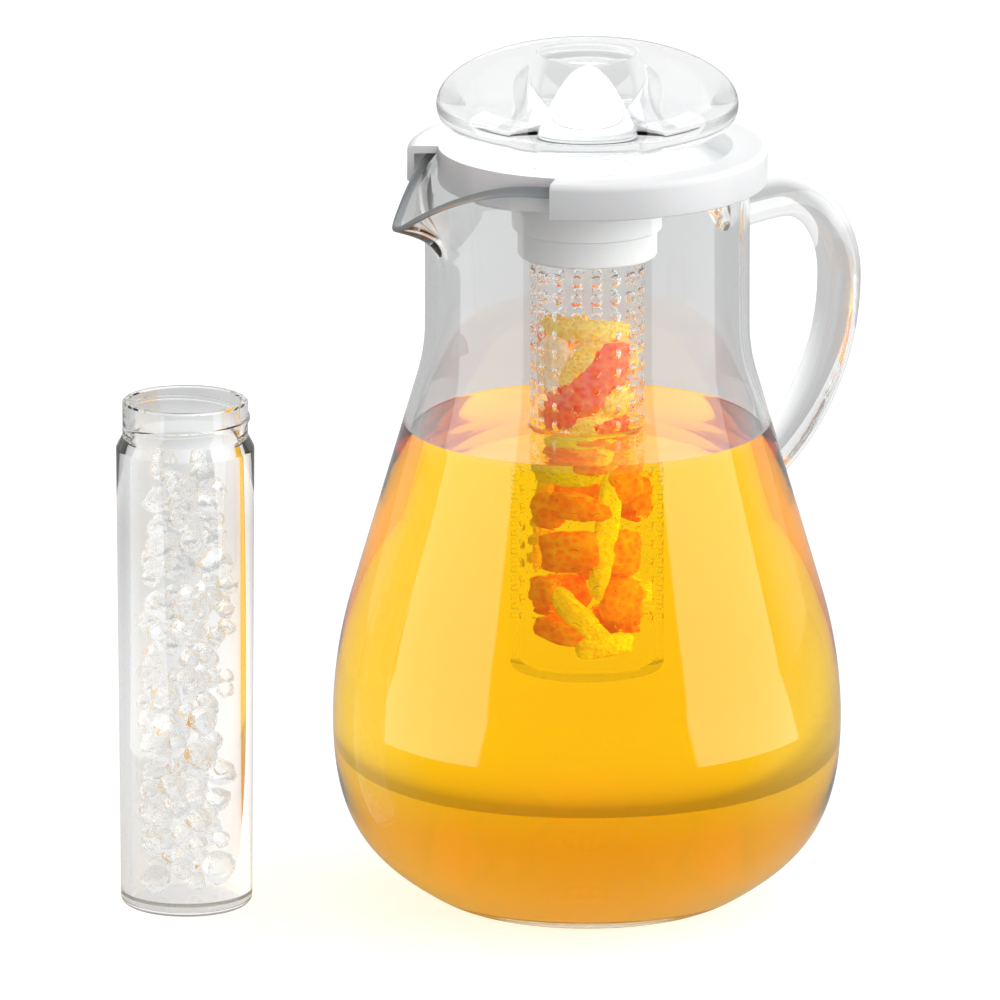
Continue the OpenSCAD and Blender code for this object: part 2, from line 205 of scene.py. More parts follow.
# %% Helpers for materials
def linear(hex_colour):
    """A colour written as sRGB hex, as the linear values that shaders use."""
    parts = [int(hex_colour[i:i + 2], 16) / 255 for i in (0, 2, 4)]
    return [c / 12.92 if c <= 0.04045 else ((c + 0.055) / 1.055) ** 2.4 for c in parts] + [1.0]


def add(tree, kind, links=None, **settings):
    """A node with its properties, its input values and the sockets that feed it."""
    node = tree.nodes.new(kind)
    for key, value in settings.items():
        if hasattr(node, key):
            setattr(node, key, value)
        else:
            node.inputs[key.replace("_", " ")].default_value = value
    for key, socket in (links or {}).items():
        tree.links.new(socket, node.inputs[key])
    return node


def new_material(name, colour, roughness, ior=1.49, transmission=0.0):
    """A material with its tree, its Principled shader and its output."""
    material = bpy.data.materials.new(name)
    material.use_nodes = True
    tree = material.node_tree
    shader = tree.nodes["Principled BSDF"]
    output = tree.nodes["Material Output"]
    shader.inputs["Base Color"].default_value = linear(colour)
    shader.inputs["Roughness"].default_value = roughness
    shader.inputs["IOR"].default_value = ior
    shader.inputs["Transmission Weight"].default_value = transmission
    if transmission > 0:
        path = add(tree, "ShaderNodeLightPath")
        clear = add(tree, "ShaderNodeBsdfTransparent")
        mix = add(tree, "ShaderNodeMixShader", {
            0: path.outputs["Is Shadow Ray"],
            1: shader.outputs[0],
            2: clear.outputs[0],
        })
        tree.links.new(mix.outputs[0], output.inputs["Surface"])
    return material, tree, shader, output


def roughen(tree, shader, size_mm, strength, height, detail=2.0):
    """Raises the surface by noise, whose swells are size_mm across and height metres high."""
    where = add(tree, "ShaderNodeTexCoord")
    swells = add(tree, "ShaderNodeTexNoise", {"Vector": where.outputs["Object"]},
                 Scale=1000 / size_mm, Detail=detail)
    bump = add(tree, "ShaderNodeBump", {"Height": swells.outputs[0]}, Strength=strength, Distance=height)
    tree.links.new(bump.outputs[0], shader.inputs["Normal"])


def dress(piece, material):
    piece.data.materials.clear()
    piece.data.materials.append(material)
    return piece


# %% [markdown]
# The shells are injection-moulded acrylic: hard, clear and glossy, with an index near 1.49. A
# real moulding is never quite flat, so a faint slow wave bends what is seen through it.

# %% Clear acrylic
WAVE_MM, WAVE_STRENGTH = 40, 0.05


def clear_plastic(name, ior=1.49, mirror="FFFFFF", colour="FDFEFE", roughness=0.0, clear=1.0):
    """Clear acrylic. mirror tints what it mirrors, and clear is the share that light passes."""
    material, tree, shader, _ = new_material(name, colour, roughness, ior, clear)
    shader.inputs["Specular Tint"].default_value = linear(mirror)
    roughen(tree, shader, WAVE_MM, WAVE_STRENGTH, 0.001, detail=1.0)
    return material


acrylic = clear_plastic("moulded_clear_acrylic")
# The tube's lower part has juice on both sides, and bends light by the ratio of the two indices
wet_acrylic = clear_plastic("clear_acrylic_under_juice", ior=1.035)
# Where juice touches the wall, the two indices almost match, so the inner face hardly mirrors
wetted_acrylic = clear_plastic("clear_acrylic_wetted_face", mirror="505050")
# The rim's land and bevel are trimmed and only roughly polished, which the roughness gives; their grey
# colour is painted shade, for the soft grey line they show
grey_edge_acrylic = clear_plastic("acrylic_edge_painted_grey", colour="A6ABAE", roughness=0.4, clear=0.45)

# %% [markdown]
# The lid and the collar are moulded in white polypropylene, a slightly soft and waxy plastic. Its
# sheen is satin, and a fine spark-eroded texture of about 0.4 mm breaks its highlights.

# %% White polypropylene and silicone
white_plastic, tree, shader, _ = new_material("white_moulded_polypropylene", "F1F2F3", 0.32, 1.49)
# The noise's own size is twice the texture's, because each swell has a high and a low half
roughen(tree, shader, 0.8, 0.06, 0.0002)
shader.inputs["Subsurface Weight"].default_value = 0.15
shader.inputs["Subsurface Scale"].default_value = 0.002

silicone, tree, shader, _ = new_material("translucent_silicone", "DCDEDE", 0.45, 1.41)
roughen(tree, shader, 0.6, 0.1, 0.0002)

# %% [markdown]
# The pitcher's section: a quarter curve under the belly, a long arc to the straight flank, and a
# tighter one back into the neck. The inside is the same line, one wall further in.

# %% The pitcher's section
BELLY_R, BELLY_Z, BELLY_CURVE_R = 82.5, 59.0, 150.0
NECK_Z, NECK_CURVE_R = 191.0, 60.0
FOOT_R, FLOOR_T = 47.0, 5.0
# The floor meets the side in a hollow, which starts this high up the inner side
HOLLOW_H = 1.5

belly_centre = (BELLY_R - BELLY_CURVE_R, BELLY_Z)
neck_centre = (NECK_R + NECK_CURVE_R, NECK_Z)
reach = (neck_centre[0] - belly_centre[0], neck_centre[1] - belly_centre[1])
lean = math.degrees(
    math.asin((BELLY_CURVE_R + NECK_CURVE_R) / math.hypot(*reach)) - math.atan2(*reach)
)
lower_curve = bezier([
    (FOOT_R, 0),
    (FOOT_R + 0.55 * (BELLY_R - FOOT_R), 0.21 * BELLY_Z),
    (BELLY_R, 0.35 * BELLY_Z),
    (BELLY_R, BELLY_Z),
], 14)
belly_curve = arc(belly_centre, BELLY_CURVE_R, 0, lean, 10)
neck_curve = arc(neck_centre, NECK_CURVE_R, 180 + lean, 180, 8)
flank = stretch(belly_curve[-1], neck_curve[0], 4)
side_line = lower_curve + belly_curve[1:] + flank[:-1] + neck_curve
neck_line = stretch((NECK_R, NECK_Z), (NECK_R, THROAT_Z), 2)
inner_side = [p for p in offset(side_line, WALL) if p[1] > FLOOR_T + HOLLOW_H]
print("the flank leans in by", round(lean, 1), "degrees")

# %% [markdown]
# The spout grows out of the neck's round wall. Seen from above it is two straight flanks that
# leave the circle and meet in a small nose; seen from the side its underside is a hollow throat
# and its rim dips towards the tip. So the neck is spun plain first, and its points are then moved
# out, each by its own bearing and height, which keeps an even wall.

# %% Where a point of the neck goes when the spout is drawn out
THROAT_STEPS = 12
# The ridge under the spout, from the throat up to the tip: distance from the axis, then height
RIDGE = [(NECK_R, THROAT_Z), (53.6, 221.5), (58.2, 225.2), (66.0, 227.0), (SPOUT_R, 229.5)]
INNER_RIDGE = [(max(r - WALL, BORE_R), z + 0.85 * WALL) for r, z in RIDGE[:-1]]
INNER_RIDGE += [(SPOUT_R - WALL, 230.1)]


def along(points, share):
    """A point on a smooth line through five control points, from 0 at its start to 1 at its end."""
    n = len(points) - 1
    weights = [math.comb(n, k) * share ** k * (1 - share) ** (n - k) for k in range(n + 1)]
    return tuple(sum(w * p[axis] for w, p in zip(weights, points)) for axis in range(2))


def draw_out(bearing, share, side_r, nose_r, ridge):
    """The radius and height at a bearing from the spout, share of the way up to the rim."""
    reach_r, ridge_z = along(ridge, share)
    plain_z = THROAT_Z + share * (RIM_Z - THROAT_Z)
    nose_x = reach_r - nose_r
    if nose_x <= side_r - nose_r + 0.001:
        return side_r, plain_z
    leave = math.acos((side_r - nose_r) / nose_x)
    bearing = abs(bearing)
    if bearing >= leave:
        return side_r, plain_z
    turn = math.atan2(nose_r * math.sin(leave), nose_x + nose_r * math.cos(leave))
    if bearing > turn:
        radius = side_r / math.cos(leave - bearing)
    else:
        s = nose_x * math.sin(bearing)
        radius = nose_x * math.cos(bearing) + math.sqrt(nose_r ** 2 - s ** 2)
    start_x = side_r * math.cos(leave)
    gone = (radius * math.cos(bearing) - start_x) / (reach_r - start_x)
    fall = max(0.0, min(1.0, gone)) ** 2
    return radius, plain_z + fall * (ridge_z - plain_z)


# %% The pitcher's body
BODY_STEPS, RIM_EDGE_H = 192, 2.9
CLEAR, WETTED, GREY_EDGE = 0, 1, 2
outer_neck = stretch((NECK_R, THROAT_Z), (NECK_R, RIM_Z - RIM_EDGE_H), THROAT_STEPS)
rim_edge = [(NECK_R - 0.15, RIM_Z - 2.6), (NECK_R - 0.5, RIM_Z - 2.0), (NECK_R - 1.9, RIM_Z - 0.25),
            (NECK_R - 2.2, RIM_Z), (BORE_R + 0.3, RIM_Z), (BORE_R + 0.05, RIM_Z - 0.3)]
inner_neck = stretch((BORE_R, RIM_Z), (BORE_R, THROAT_Z), THROAT_STEPS + 1)
inner_low = [(BORE_R, z) for _, z in reversed(neck_line[:-1])] + list(reversed(inner_side))
floor_line = [(inner_side[0][0] - 3, FLOOR_T + 0.4), (inner_side[0][0] - 8, FLOOR_T), (20, FLOOR_T),
              (0, FLOOR_T)]
foot_line = [(0, 0), (20, 0), (FOOT_R - 4, 0), (FOOT_R - 1, 0.05)]
# From the middle of the foot, up the outside, over the rim and down the inside to the floor
outside_line = foot_line + side_line[1:] + neck_line + outer_neck + rim_edge
body = lathe("pitcher_shell", outside_line + inner_neck + inner_low + floor_line, steps=BODY_STEPS)
for material in (acrylic, wetted_acrylic, grey_edge_acrylic):
    body.data.materials.append(material)
for face in body.data.polygons:
    # The rim's top faces take the edge material with its painted grey shade
    face.material_index = GREY_EDGE if face.center.z > (RIM_Z - RIM_EDGE_H - 0.05) * MM else CLEAR

# %% The spout
for vertex in body.data.vertices:
    x, y, z = (c / MM for c in vertex.co)
    if z <= THROAT_Z + 0.01:
        continue
    radius = math.hypot(x, y)
    if radius < BORE_R - 0.2:
        continue
    bearing = math.atan2(y, -x)
    share = (z - THROAT_Z) / (RIM_Z - THROAT_Z)
    outside = draw_out(bearing, share, NECK_R, NOSE_R, RIDGE)
    inside = draw_out(bearing, share, BORE_R, NOSE_R - 2, INNER_RIDGE)
    depth = min(1.0, max(0.0, (NECK_R - radius) / WALL))
    new_r = outside[0] + (inside[0] - outside[0]) * depth
    new_z = outside[1] + (inside[1] - outside[1]) * depth
    vertex.co = (vertex.co.x * new_r / radius, vertex.co.y * new_r / radius, new_z * MM)
smooth(apply_modifier(body, "SUBSURF", levels=1, render_levels=1))

# %% Which faces of the body the juice wets
for face in body.data.polygons:
    inward = face.normal.x * face.center.x + face.normal.y * face.center.y < 0 or face.normal.z > 0.7
    above_foot = face.center.z > FLOOR_T * 0.8 * MM
    if inward and above_foot and face.center.z < JUICE_Z * MM:
        face.material_index = WETTED
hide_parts("pitcher_body")
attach(body, "pitcher")
print("pitcher_shell is", [round(d * 1000, 1) for d in body.dimensions], "mm")

# %% [markdown]
# The handle is a solid oval bar. It is swept by hand: an oval is extruded ring by ring along the
# line that the bar's middle follows, and each ring is turned square to that line. Its ends run on
# into the wall and are cut off by the body's own outline, as the bonded joint is.

# %% The handle
GRIP_T, GRIP_W, GRIP_SIDES = 12.8, 18.0, 32
ROOT_T, ROOT_FLARE, ROOT_RINGS, HANDLE_SINK = 16.0, 2.0, 14, 6.0
LANDING_Z, LANDING_SLANT = 135.5, 52
# How far each curve's two middle points lie along it: 0.55 makes a quarter circle
QUARTER, SLACK = 0.55, 0.39
crest = (NECK_R + 17.5, RIM_Z - 21.7)
side = (NECK_R + 46.3 - GRIP_T / 2, RIM_Z - 50.5)
flank_foot = belly_curve[-1]
landing_r = flank_foot[0] - (LANDING_Z - flank_foot[1]) * math.tan(math.radians(lean))
landing = (landing_r - HANDLE_SINK / 2, LANDING_Z)
back = (math.sin(math.radians(LANDING_SLANT)), math.cos(math.radians(LANDING_SLANT)))
pull = SLACK * (side[1] - landing[1])
root = (NECK_R - HANDLE_SINK, crest[1] - HANDLE_SINK / 2)
upper = bezier([root, (root[0] + HANDLE_SINK, root[1] + HANDLE_SINK / 4),
                (crest[0] - HANDLE_SINK, crest[1]), crest], 8)
bend = bezier([crest, (crest[0] + QUARTER * (side[0] - crest[0]), crest[1]),
               (side[0], side[1] + QUARTER * (crest[1] - side[1])), side], 12)
down = bezier([side, (side[0], side[1] - pull),
               (landing[0] + pull * back[0], landing[1] + pull * back[1]), landing], 14)
sunk_end = (landing[0] - HANDLE_SINK * back[0], landing[1] - HANDLE_SINK * back[1])
line = upper + bend[1:] + down[1:] + [sunk_end]


def grip_ring(i):
    """The oval round one point of the line, square to the line, and larger near the upper root."""
    before, after = line[max(i - 1, 0)], line[min(i + 1, len(line) - 1)]
    run = math.hypot(after[0] - before[0], after[1] - before[1])
    across = ((before[1] - after[1]) / run, (after[0] - before[0]) / run)
    near_root = max(0.0, 1 - i / ROOT_RINGS)
    half_t = GRIP_T / 2 + near_root * (ROOT_T - GRIP_T) / 2
    half_w = GRIP_W / 2 + near_root * ROOT_FLARE / 2
    ring = []
    for k in range(GRIP_SIDES):
        t = 2 * math.pi * k / GRIP_SIDES
        out = half_t * math.cos(t)
        ring.append((line[i][0] + across[0] * out, half_w * math.sin(t), line[i][1] + across[1] * out))
    return ring


handle = sweep("grip_bar", [grip_ring(i) for i in range(len(line))])
cutter_line = [(0, -5), (FOOT_R, -5)] + side_line + [(NECK_R, RIM_Z), (0, RIM_Z)]
cutter = lathe("cutter", cutter_line, steps=BODY_STEPS)
apply_modifier(handle, "BOOLEAN", object=cutter, operation="DIFFERENCE", solver="EXACT")
bpy.data.objects.remove(cutter)
tidy(handle, 0.02)
smooth(handle, 50)
dress(handle, acrylic)
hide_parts("handle")
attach(handle, "pitcher")
print("grip_bar has", len(handle.data.polygons), "faces")

# %% [markdown]
# The lid is one white moulding: a plug inside the rim, a flange on the rim with a skirt round the
# outside, a sunk floor, and the boss that holds the collar. The plug, floor and boss are spun all
# round; the flange and skirt are spun only as far as the spout's opening, closed at both ends.

# %% The lid
PLUG_R, PLUG_T, PLUG_FOOT_Z = 48.3, 2.4, 238.0
SKIRT_INNER_R, SKIRT_R, SKIRT_FOOT_Z = 55.9, 58.2, 238.4
BOSS_R, BOSS_BORE_R, BOSS_FOOT_Z = 24.1, 22.7, 223.0
COLLAR_TOP_Z = 230.4
# The spout's opening in the flange and skirt, as two bearings in degrees
GAP_FROM, GAP_TO = 154.5, 230.2
inner_r = PLUG_R - PLUG_T
under_z = LID_FLOOR_Z - 2.4
plug_section = (
    [(0, under_z), (BOSS_BORE_R - 1.4, under_z), (BOSS_BORE_R - 1.4, COLLAR_TOP_Z),
     (BOSS_BORE_R, COLLAR_TOP_Z), (BOSS_BORE_R, BOSS_FOOT_Z + 0.2), (BOSS_BORE_R + 0.2, BOSS_FOOT_Z),
     (BOSS_R - 0.3, BOSS_FOOT_Z), (BOSS_R, BOSS_FOOT_Z + 0.3), (BOSS_R, LID_FLOOR_Z - 3.4),
     (BOSS_R + 1, under_z), (inner_r - 0.8, under_z), (inner_r, LID_FLOOR_Z - 3.2)]
    + arc((PLUG_R - PLUG_T / 2, PLUG_FOOT_Z + PLUG_T / 2), PLUG_T / 2, 180, 360, 6)
    + [(PLUG_R, LID_TOP_Z - 0.3), (PLUG_R - 0.1, LID_TOP_Z)]
    + arc((inner_r + 1.6, LID_TOP_Z - 1.6), 1.6, 90, 180, 5)
    + [(inner_r, LID_FLOOR_Z + 0.6), (inner_r - 0.6, LID_FLOOR_Z), (0, LID_FLOOR_Z)]
)
lid = lathe("lid_moulding", plug_section)

# %% The lid's flange and skirt
flange_section = (
    [(PLUG_R - 1.2, RIM_Z), (PLUG_R - 1.2, LID_TOP_Z)]
    + arc((SKIRT_R - 2.2, LID_TOP_Z - 2.2), 2.2, 90, 0, 8)
    + arc((SKIRT_R - 0.5, SKIRT_FOOT_Z + 0.5), 0.5, 0, -90, 3)
    + [(SKIRT_INNER_R + 0.4, SKIRT_FOOT_Z), (SKIRT_INNER_R, SKIRT_FOOT_Z + 0.4), (SKIRT_INNER_R, RIM_Z)]
)
skirt = draw_section("skirt", flange_section + flange_section[:1])
edit_all(skirt)
bpy.ops.mesh.remove_doubles(threshold=0.004 * MM)
bpy.ops.mesh.edge_face_add()
# With no window, rotate turns the other way. Spin turns clockwise, so its axis points down here
bpy.ops.transform.rotate(value=-math.radians(GAP_TO), orient_axis="Z", center_override=(0, 0, 0))
spread = math.radians(360 - GAP_TO + GAP_FROM)
bpy.ops.mesh.spin(steps=120, angle=spread, center=(0, 0, 0), axis=(0, 0, -1))
bpy.ops.object.mode_set(mode="OBJECT")
tidy(skirt)
bearings = [math.degrees(math.atan2(v.co.y, v.co.x)) % 360 for v in skirt.data.vertices]
left_in_gap = sum(1 for b in bearings if GAP_FROM + 1 < b < GAP_TO - 1)
print("points of the skirt inside the spout's opening:", left_in_gap)
apply_modifier(lid, "BOOLEAN", object=skirt, operation="UNION", solver="EXACT")
bpy.data.objects.remove(skirt)
tidy(lid, 0.01)
smooth(lid, 35)
dress(lid, white_plastic)
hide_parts("lid")
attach(lid, "lid")

# %% [markdown]
# The knob is two clear shells welded round their edge, and hollow: a dome above, and a flat ring
# with a rounded side below. A tube, the stem, joins the dome's roof to the lid.

# %% The knob
KNOB_R, SEAM_Z, KNOB_TOP_Z, KNOB_FOOT_Z, KNOB_T = 48.8, 263.7, 282.7, 255.0, 3.0
STEM_R, STEM_T, BASE_H = 19.0, 2.6, 8.7
DOME_H = 19.0
dome_line = bezier([(KNOB_R, SEAM_Z), (KNOB_R, SEAM_Z + 0.53 * DOME_H), (0.61 * KNOB_R, KNOB_TOP_Z),
                    (0, KNOB_TOP_Z)], 22)
under_line = arc((KNOB_R - BASE_H, SEAM_Z), BASE_H, 270, 360, 10)
dome_inside = [p for p in offset(dome_line, KNOB_T) if p[0] > STEM_R + 1.5]
base_inside = arc((KNOB_R - BASE_H, SEAM_Z), BASE_H - KNOB_T, 360, 270, 8)
roof_z = KNOB_TOP_Z - KNOB_T
knob_section = (
    [(STEM_R + 0.4, KNOB_FOOT_Z + 0.4), (STEM_R + 1.2, KNOB_FOOT_Z)] + under_line + dome_line[1:-1]
    + [(0, KNOB_TOP_Z)]
)
knob = lathe("knob_shell", knob_section + [
    (0, roof_z), (STEM_R - STEM_T - 1.5, roof_z), (STEM_R - STEM_T, roof_z - 1.2),
    (STEM_R - STEM_T, LID_FLOOR_Z + 0.1), (STEM_R - 0.2, LID_FLOOR_Z + 0.1), (STEM_R, LID_FLOOR_Z + 0.3),
    (STEM_R, KNOB_FOOT_Z - 0.4), (STEM_R + 0.4, KNOB_FOOT_Z + 0.4),
])
hollow_line = [(STEM_R, KNOB_FOOT_Z + KNOB_T + 0.6), (STEM_R, roof_z - 1.6), (STEM_R + 1.2, roof_z - 0.6)]
hollow_line += list(reversed(dome_inside)) + base_inside + [(STEM_R + 0.8, KNOB_FOOT_Z + KNOB_T)]
hollow = lathe("knob_hollow", hollow_line, closed=True)
apply_modifier(knob, "BOOLEAN", object=hollow, operation="DIFFERENCE", solver="EXACT")
bpy.data.objects.remove(hollow)
tidy(knob, 0.01)
smooth(knob, 40)
dress(knob, acrylic)
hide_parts("knob_dome", "knob_base")
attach(knob, "lid")

# %% [markdown]
# The collar is a short white nut bonded under the lid, and the washer lies in its closed end.

# %% The collar
COLLAR_R, COLLAR_BORE_R = 22.55, 21.25
WASHER_Z, WASHER_TOP_Z = 225.6, 228.0
collar = lathe("thread_collar", [
    (0, WASHER_TOP_Z), (COLLAR_BORE_R, WASHER_TOP_Z), (COLLAR_BORE_R, COLLAR_FOOT_Z + 0.6),
    (COLLAR_BORE_R + 0.3, COLLAR_FOOT_Z),
] + arc((COLLAR_R - 1.0, COLLAR_FOOT_Z + 1.0), 1.0, 270, 360, 5) + [
    (COLLAR_R, COLLAR_TOP_Z - 0.3), (COLLAR_R - 0.3, COLLAR_TOP_Z), (0, COLLAR_TOP_Z),
], steps=96)
smooth(collar, 35)
dress(collar, white_plastic)
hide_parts("collar")
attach(collar, "lid")

# %% The washer
# It is spun as a slim ring with rounded sides, and its two sides are then drawn apart
WASHER_BORE_R, WASHER_R, CORD_R = 16.95, 21.0, 1.15
washer = lathe("seal_washer", arc((18.95, WASHER_Z + 1.2), CORD_R, -60, 60, 4)
               + arc((18.1, WASHER_Z + 1.2), CORD_R, 120, 240, 4), closed=True, steps=96)
for vertex in washer.data.vertices:
    radius = vertex.co.xy.length
    target = (WASHER_BORE_R if radius < 18.6 * MM else WASHER_R) * MM
    share = min(1.0, abs(radius - 18.5 * MM) / (1.2 * MM))
    scale = (radius + (target - radius) * share * 0.9) / radius
    vertex.co.x *= scale
    vertex.co.y *= scale
smooth(washer, 50)
dress(washer, silicone)
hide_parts("core_washer")
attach(washer, "washer")

# %% [markdown]
# The fruit tube is pierced by rows of small round holes, each with a slanted edge on the outside.
# One tile of wall is modelled flat round one hole, laid out in rows by two Array modifiers, and
# rolled up into a tube. Its two ends are then drawn on, ring by ring, to the neck and the floor.

# %% The perforated wall
HOLES_ROUND, ROWS, ROW_PITCH = 18, 20, 6.1
FIRST_ROW_Z = COLLAR_FOOT_Z - 5
FIRST_HOLE_ANGLE = 11.5
TILE_W = 2 * math.pi * TUBE_R / HOLES_ROUND
TUBE_T = TUBE_R - TUBE_BORE_R
HOLE_R, HOLE_EDGE_R, EDGE_DEPTH = 1.5, 2.1, 0.6
HOLE_SIDES = 12


def round_ring(radius, depth):
    angles = [math.radians(45 + 30 * k) for k in range(HOLE_SIDES)]
    return [(radius * math.cos(a), radius * math.sin(a), depth) for a in angles]


def square_ring(depth):
    """The tile's edge, with three steps to a side so that neighbours meet point to point."""
    edge = (1, 1 / 3, -1 / 3, -1, -1, -1, -1, -1 / 3, 1 / 3, 1, 1, 1)
    return [(edge[k] * TILE_W / 2, edge[k - 3] * ROW_PITCH / 2, depth) for k in range(HOLE_SIDES)]


tile_rings = [square_ring(0), round_ring(HOLE_EDGE_R, 0), round_ring(HOLE_R, EDGE_DEPTH),
              round_ring(HOLE_R, TUBE_T), square_ring(TUBE_T)]
deselect()
bpy.ops.mesh.primitive_circle_add(vertices=HOLE_SIDES, radius=MM, fill_type="NOTHING")
tube = bpy.context.object
tube.name = "fruit_tube"
bpy.ops.object.mode_set(mode="EDIT")
bpy.ops.mesh.select_all(action="SELECT")
for _ in tile_rings[1:]:
    bpy.ops.mesh.extrude_region_move(TRANSFORM_OT_translate={"value": (0, 0, MM)})
bpy.ops.object.mode_set(mode="OBJECT")
for k, ring in enumerate(tile_rings):
    for i, (x, z, depth) in enumerate(ring):
        tube.data.vertices[HOLE_SIDES * k + i].co = (x * MM, depth * MM, z * MM)
for count, step in ((HOLES_ROUND, (TILE_W * MM, 0, 0)), (ROWS, (0, 0, -ROW_PITCH * MM))):
    apply_modifier(tube, "ARRAY", count=count, use_relative_offset=False, use_constant_offset=True,
                   constant_offset_displace=step, use_merge_vertices=True, merge_threshold=0.01 * MM)
for vertex in tube.data.vertices:
    x, depth, z = vertex.co
    a = math.radians(FIRST_HOLE_ANGLE) + x / (TUBE_R * MM)
    radius = TUBE_R * MM - depth
    vertex.co = (radius * math.cos(a), radius * math.sin(a), z + FIRST_ROW_Z * MM)
tidy(tube)
print("the wall has", HOLES_ROUND * ROWS, "holes and", len(tube.data.polygons), "faces")


# %% The tube's neck and its floor
def grow(piece, start, outline):
    """Draws a round edge loop on, ring by ring, through points of (radius, height)."""
    edit_all(piece)
    bpy.ops.mesh.select_all(action="DESELECT")
    bpy.ops.object.mode_set(mode="OBJECT")
    for vertex in piece.data.vertices:
        near_r = abs(vertex.co.xy.length / MM - start[0]) < 0.05
        vertex.select = near_r and abs(vertex.co.z / MM - start[1]) < 0.05
    bpy.ops.object.mode_set(mode="EDIT")
    here = start
    for there in outline:
        rise = (there[1] - here[1]) * MM
        bpy.ops.mesh.extrude_region_move(TRANSFORM_OT_translate={"value": (0, 0, rise)})
        # A ring that closes on the axis keeps a hair's width, so that it can be merged there
        new_r = max(there[0], 1e-4)
        scale = new_r / here[0]
        bpy.ops.transform.resize(value=(scale, scale, 1), center_override=(0, 0, 0))
        here = (new_r, there[1])
    bpy.ops.object.mode_set(mode="OBJECT")


FLOOR_TOP_Z = TUBE_FOOT_Z + 2.4
wall_top = FIRST_ROW_Z + ROW_PITCH / 2
wall_foot = FIRST_ROW_Z - (ROWS - 0.5) * ROW_PITCH
grow(tube, (TUBE_R, wall_top), [
    (TUBE_R, COLLAR_FOOT_Z - 0.4), (TUBE_R + 0.4, COLLAR_FOOT_Z), (TUBE_NECK_R - 0.3, COLLAR_FOOT_Z),
    (TUBE_NECK_R, COLLAR_FOOT_Z + 0.3), (TUBE_NECK_R, TUBE_TOP_Z - 0.5), (TUBE_NECK_R - 0.5, TUBE_TOP_Z),
    (TUBE_BORE_R + 0.4, TUBE_TOP_Z), (TUBE_BORE_R, TUBE_TOP_Z - 0.4), (TUBE_BORE_R, wall_top),
])
grow(tube, (TUBE_R, wall_foot), [
    (TUBE_R, TUBE_FOOT_Z + 1.6), (TUBE_R - 0.5, TUBE_FOOT_Z + 0.5), (TUBE_R - 1.6, TUBE_FOOT_Z),
    (6, TUBE_FOOT_Z), (0, TUBE_FOOT_Z),
])
grow(tube, (TUBE_BORE_R, wall_foot), [
    (TUBE_BORE_R, TUBE_FOOT_Z + 3.6), (TUBE_BORE_R - 1.2, FLOOR_TOP_Z), (6, FLOOR_TOP_Z), (0, FLOOR_TOP_Z),
])
tidy(tube, 0.02)
rims = sum(1 for e in tube.data.edges if e.is_loose)
print("fruit_tube has", len(tube.data.polygons), "faces and", rims, "loose edges")


# %% [markdown]
# The thread is one turn of a low bead. It is a small slanted section swept round and up, which
# tapers into the neck at both ends.

# %% Threads
BEAD_H, BEAD_W, PITCH, BEAD_SINK = 0.7, 2.0, 6.0, 0.3
NECK_H = TUBE_TOP_Z - COLLAR_FOOT_Z
BEAD_START = (NECK_H - PITCH) / 2
BEAD_STEPS = 48


def thread_bead(name, neck_r, foot_z, start_angle):
    """One turn of thread on a neck. Each ring is a low bead with slanted sides."""
    rings = []
    for i in range(BEAD_STEPS + 1):
        share = i / BEAD_STEPS
        a = math.radians(start_angle + 360 * share)
        z = foot_z + BEAD_START + PITCH * share
        slim = min(1.0, 8 * min(share, 1 - share) + 0.05)
        low = neck_r - BEAD_SINK
        top = low + (BEAD_H + BEAD_SINK) * slim
        side = top - 0.2
        ring = [(low, -0.5), (side, -0.32), (top, -0.2), (top, 0.2), (side, 0.32), (low, 0.5)]
        rings.append([(r * math.cos(a), r * math.sin(a), z + up * BEAD_W) for r, up in ring])
    return sweep(name, rings)


bead = thread_bead("bead", TUBE_NECK_R, COLLAR_FOOT_Z, 0)
apply_modifier(tube, "BOOLEAN", object=bead, operation="UNION", solver="EXACT")
bpy.data.objects.remove(bead)
smooth(tidy(tube, 0.005), 38)
tube.data.materials.append(acrylic)
tube.data.materials.append(wet_acrylic)
# Faces under the juice take the second material
for face in tube.data.polygons:
    face.material_index = 1 if face.center.z < JUICE_Z * MM else 0
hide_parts("infuser_tube")
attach(tube, "infuser")

# %% [markdown]
# The ice tube is closed at its foot, and its outside widens slightly towards its shoulder, so that
# it leaves its mould. Its neck and thread are the fruit tube's.

# %% The ice tube
ICE_X, ICE_Y = -120.387, 50.112
ICE_H, ICE_FLOOR_Z, ICE_BORE_R = 168.0, 3.0, 17.9
ICE_FOOT_R, ICE_R, SHOULDER_Z = 21.3, 22.4, 152.0
ICE_THREAD_FROM = 150
ice_section = (
    [(0, 0), (10, 0)] + arc((ICE_FOOT_R - 3, 3.0), 3.0, 270, 360, 6)
    + stretch((ICE_FOOT_R, 3.0), (ICE_R, SHOULDER_Z), 6)
    + [(22.3, 152.6), (20.5, 156.1), (TUBE_NECK_R, 156.7), (TUBE_NECK_R, ICE_H - 0.6),
       (TUBE_NECK_R - 0.6, ICE_H), (ICE_BORE_R + 0.5, ICE_H), (ICE_BORE_R, ICE_H - 0.5)]
    + stretch((ICE_BORE_R, ICE_H - 0.5), (ICE_BORE_R, 4.5), 6)
    + [(ICE_BORE_R - 1.5, ICE_FLOOR_Z), (8, ICE_FLOOR_Z), (0, ICE_FLOOR_Z)]
)
ice_tube = lathe("ice_tube_shell", ice_section, steps=128)
bead = thread_bead("bead", TUBE_NECK_R, ICE_H - NECK_H, ICE_THREAD_FROM)
apply_modifier(ice_tube, "BOOLEAN", object=bead, operation="UNION", solver="EXACT")
bpy.data.objects.remove(bead)
ice_tube.data.transform(Matrix.Translation((ICE_X * MM, ICE_Y * MM, 0)))
smooth(tidy(ice_tube, 0.005), 38)
dress(ice_tube, acrylic)
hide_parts("ice_tube")
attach(ice_tube, "ice_tube")

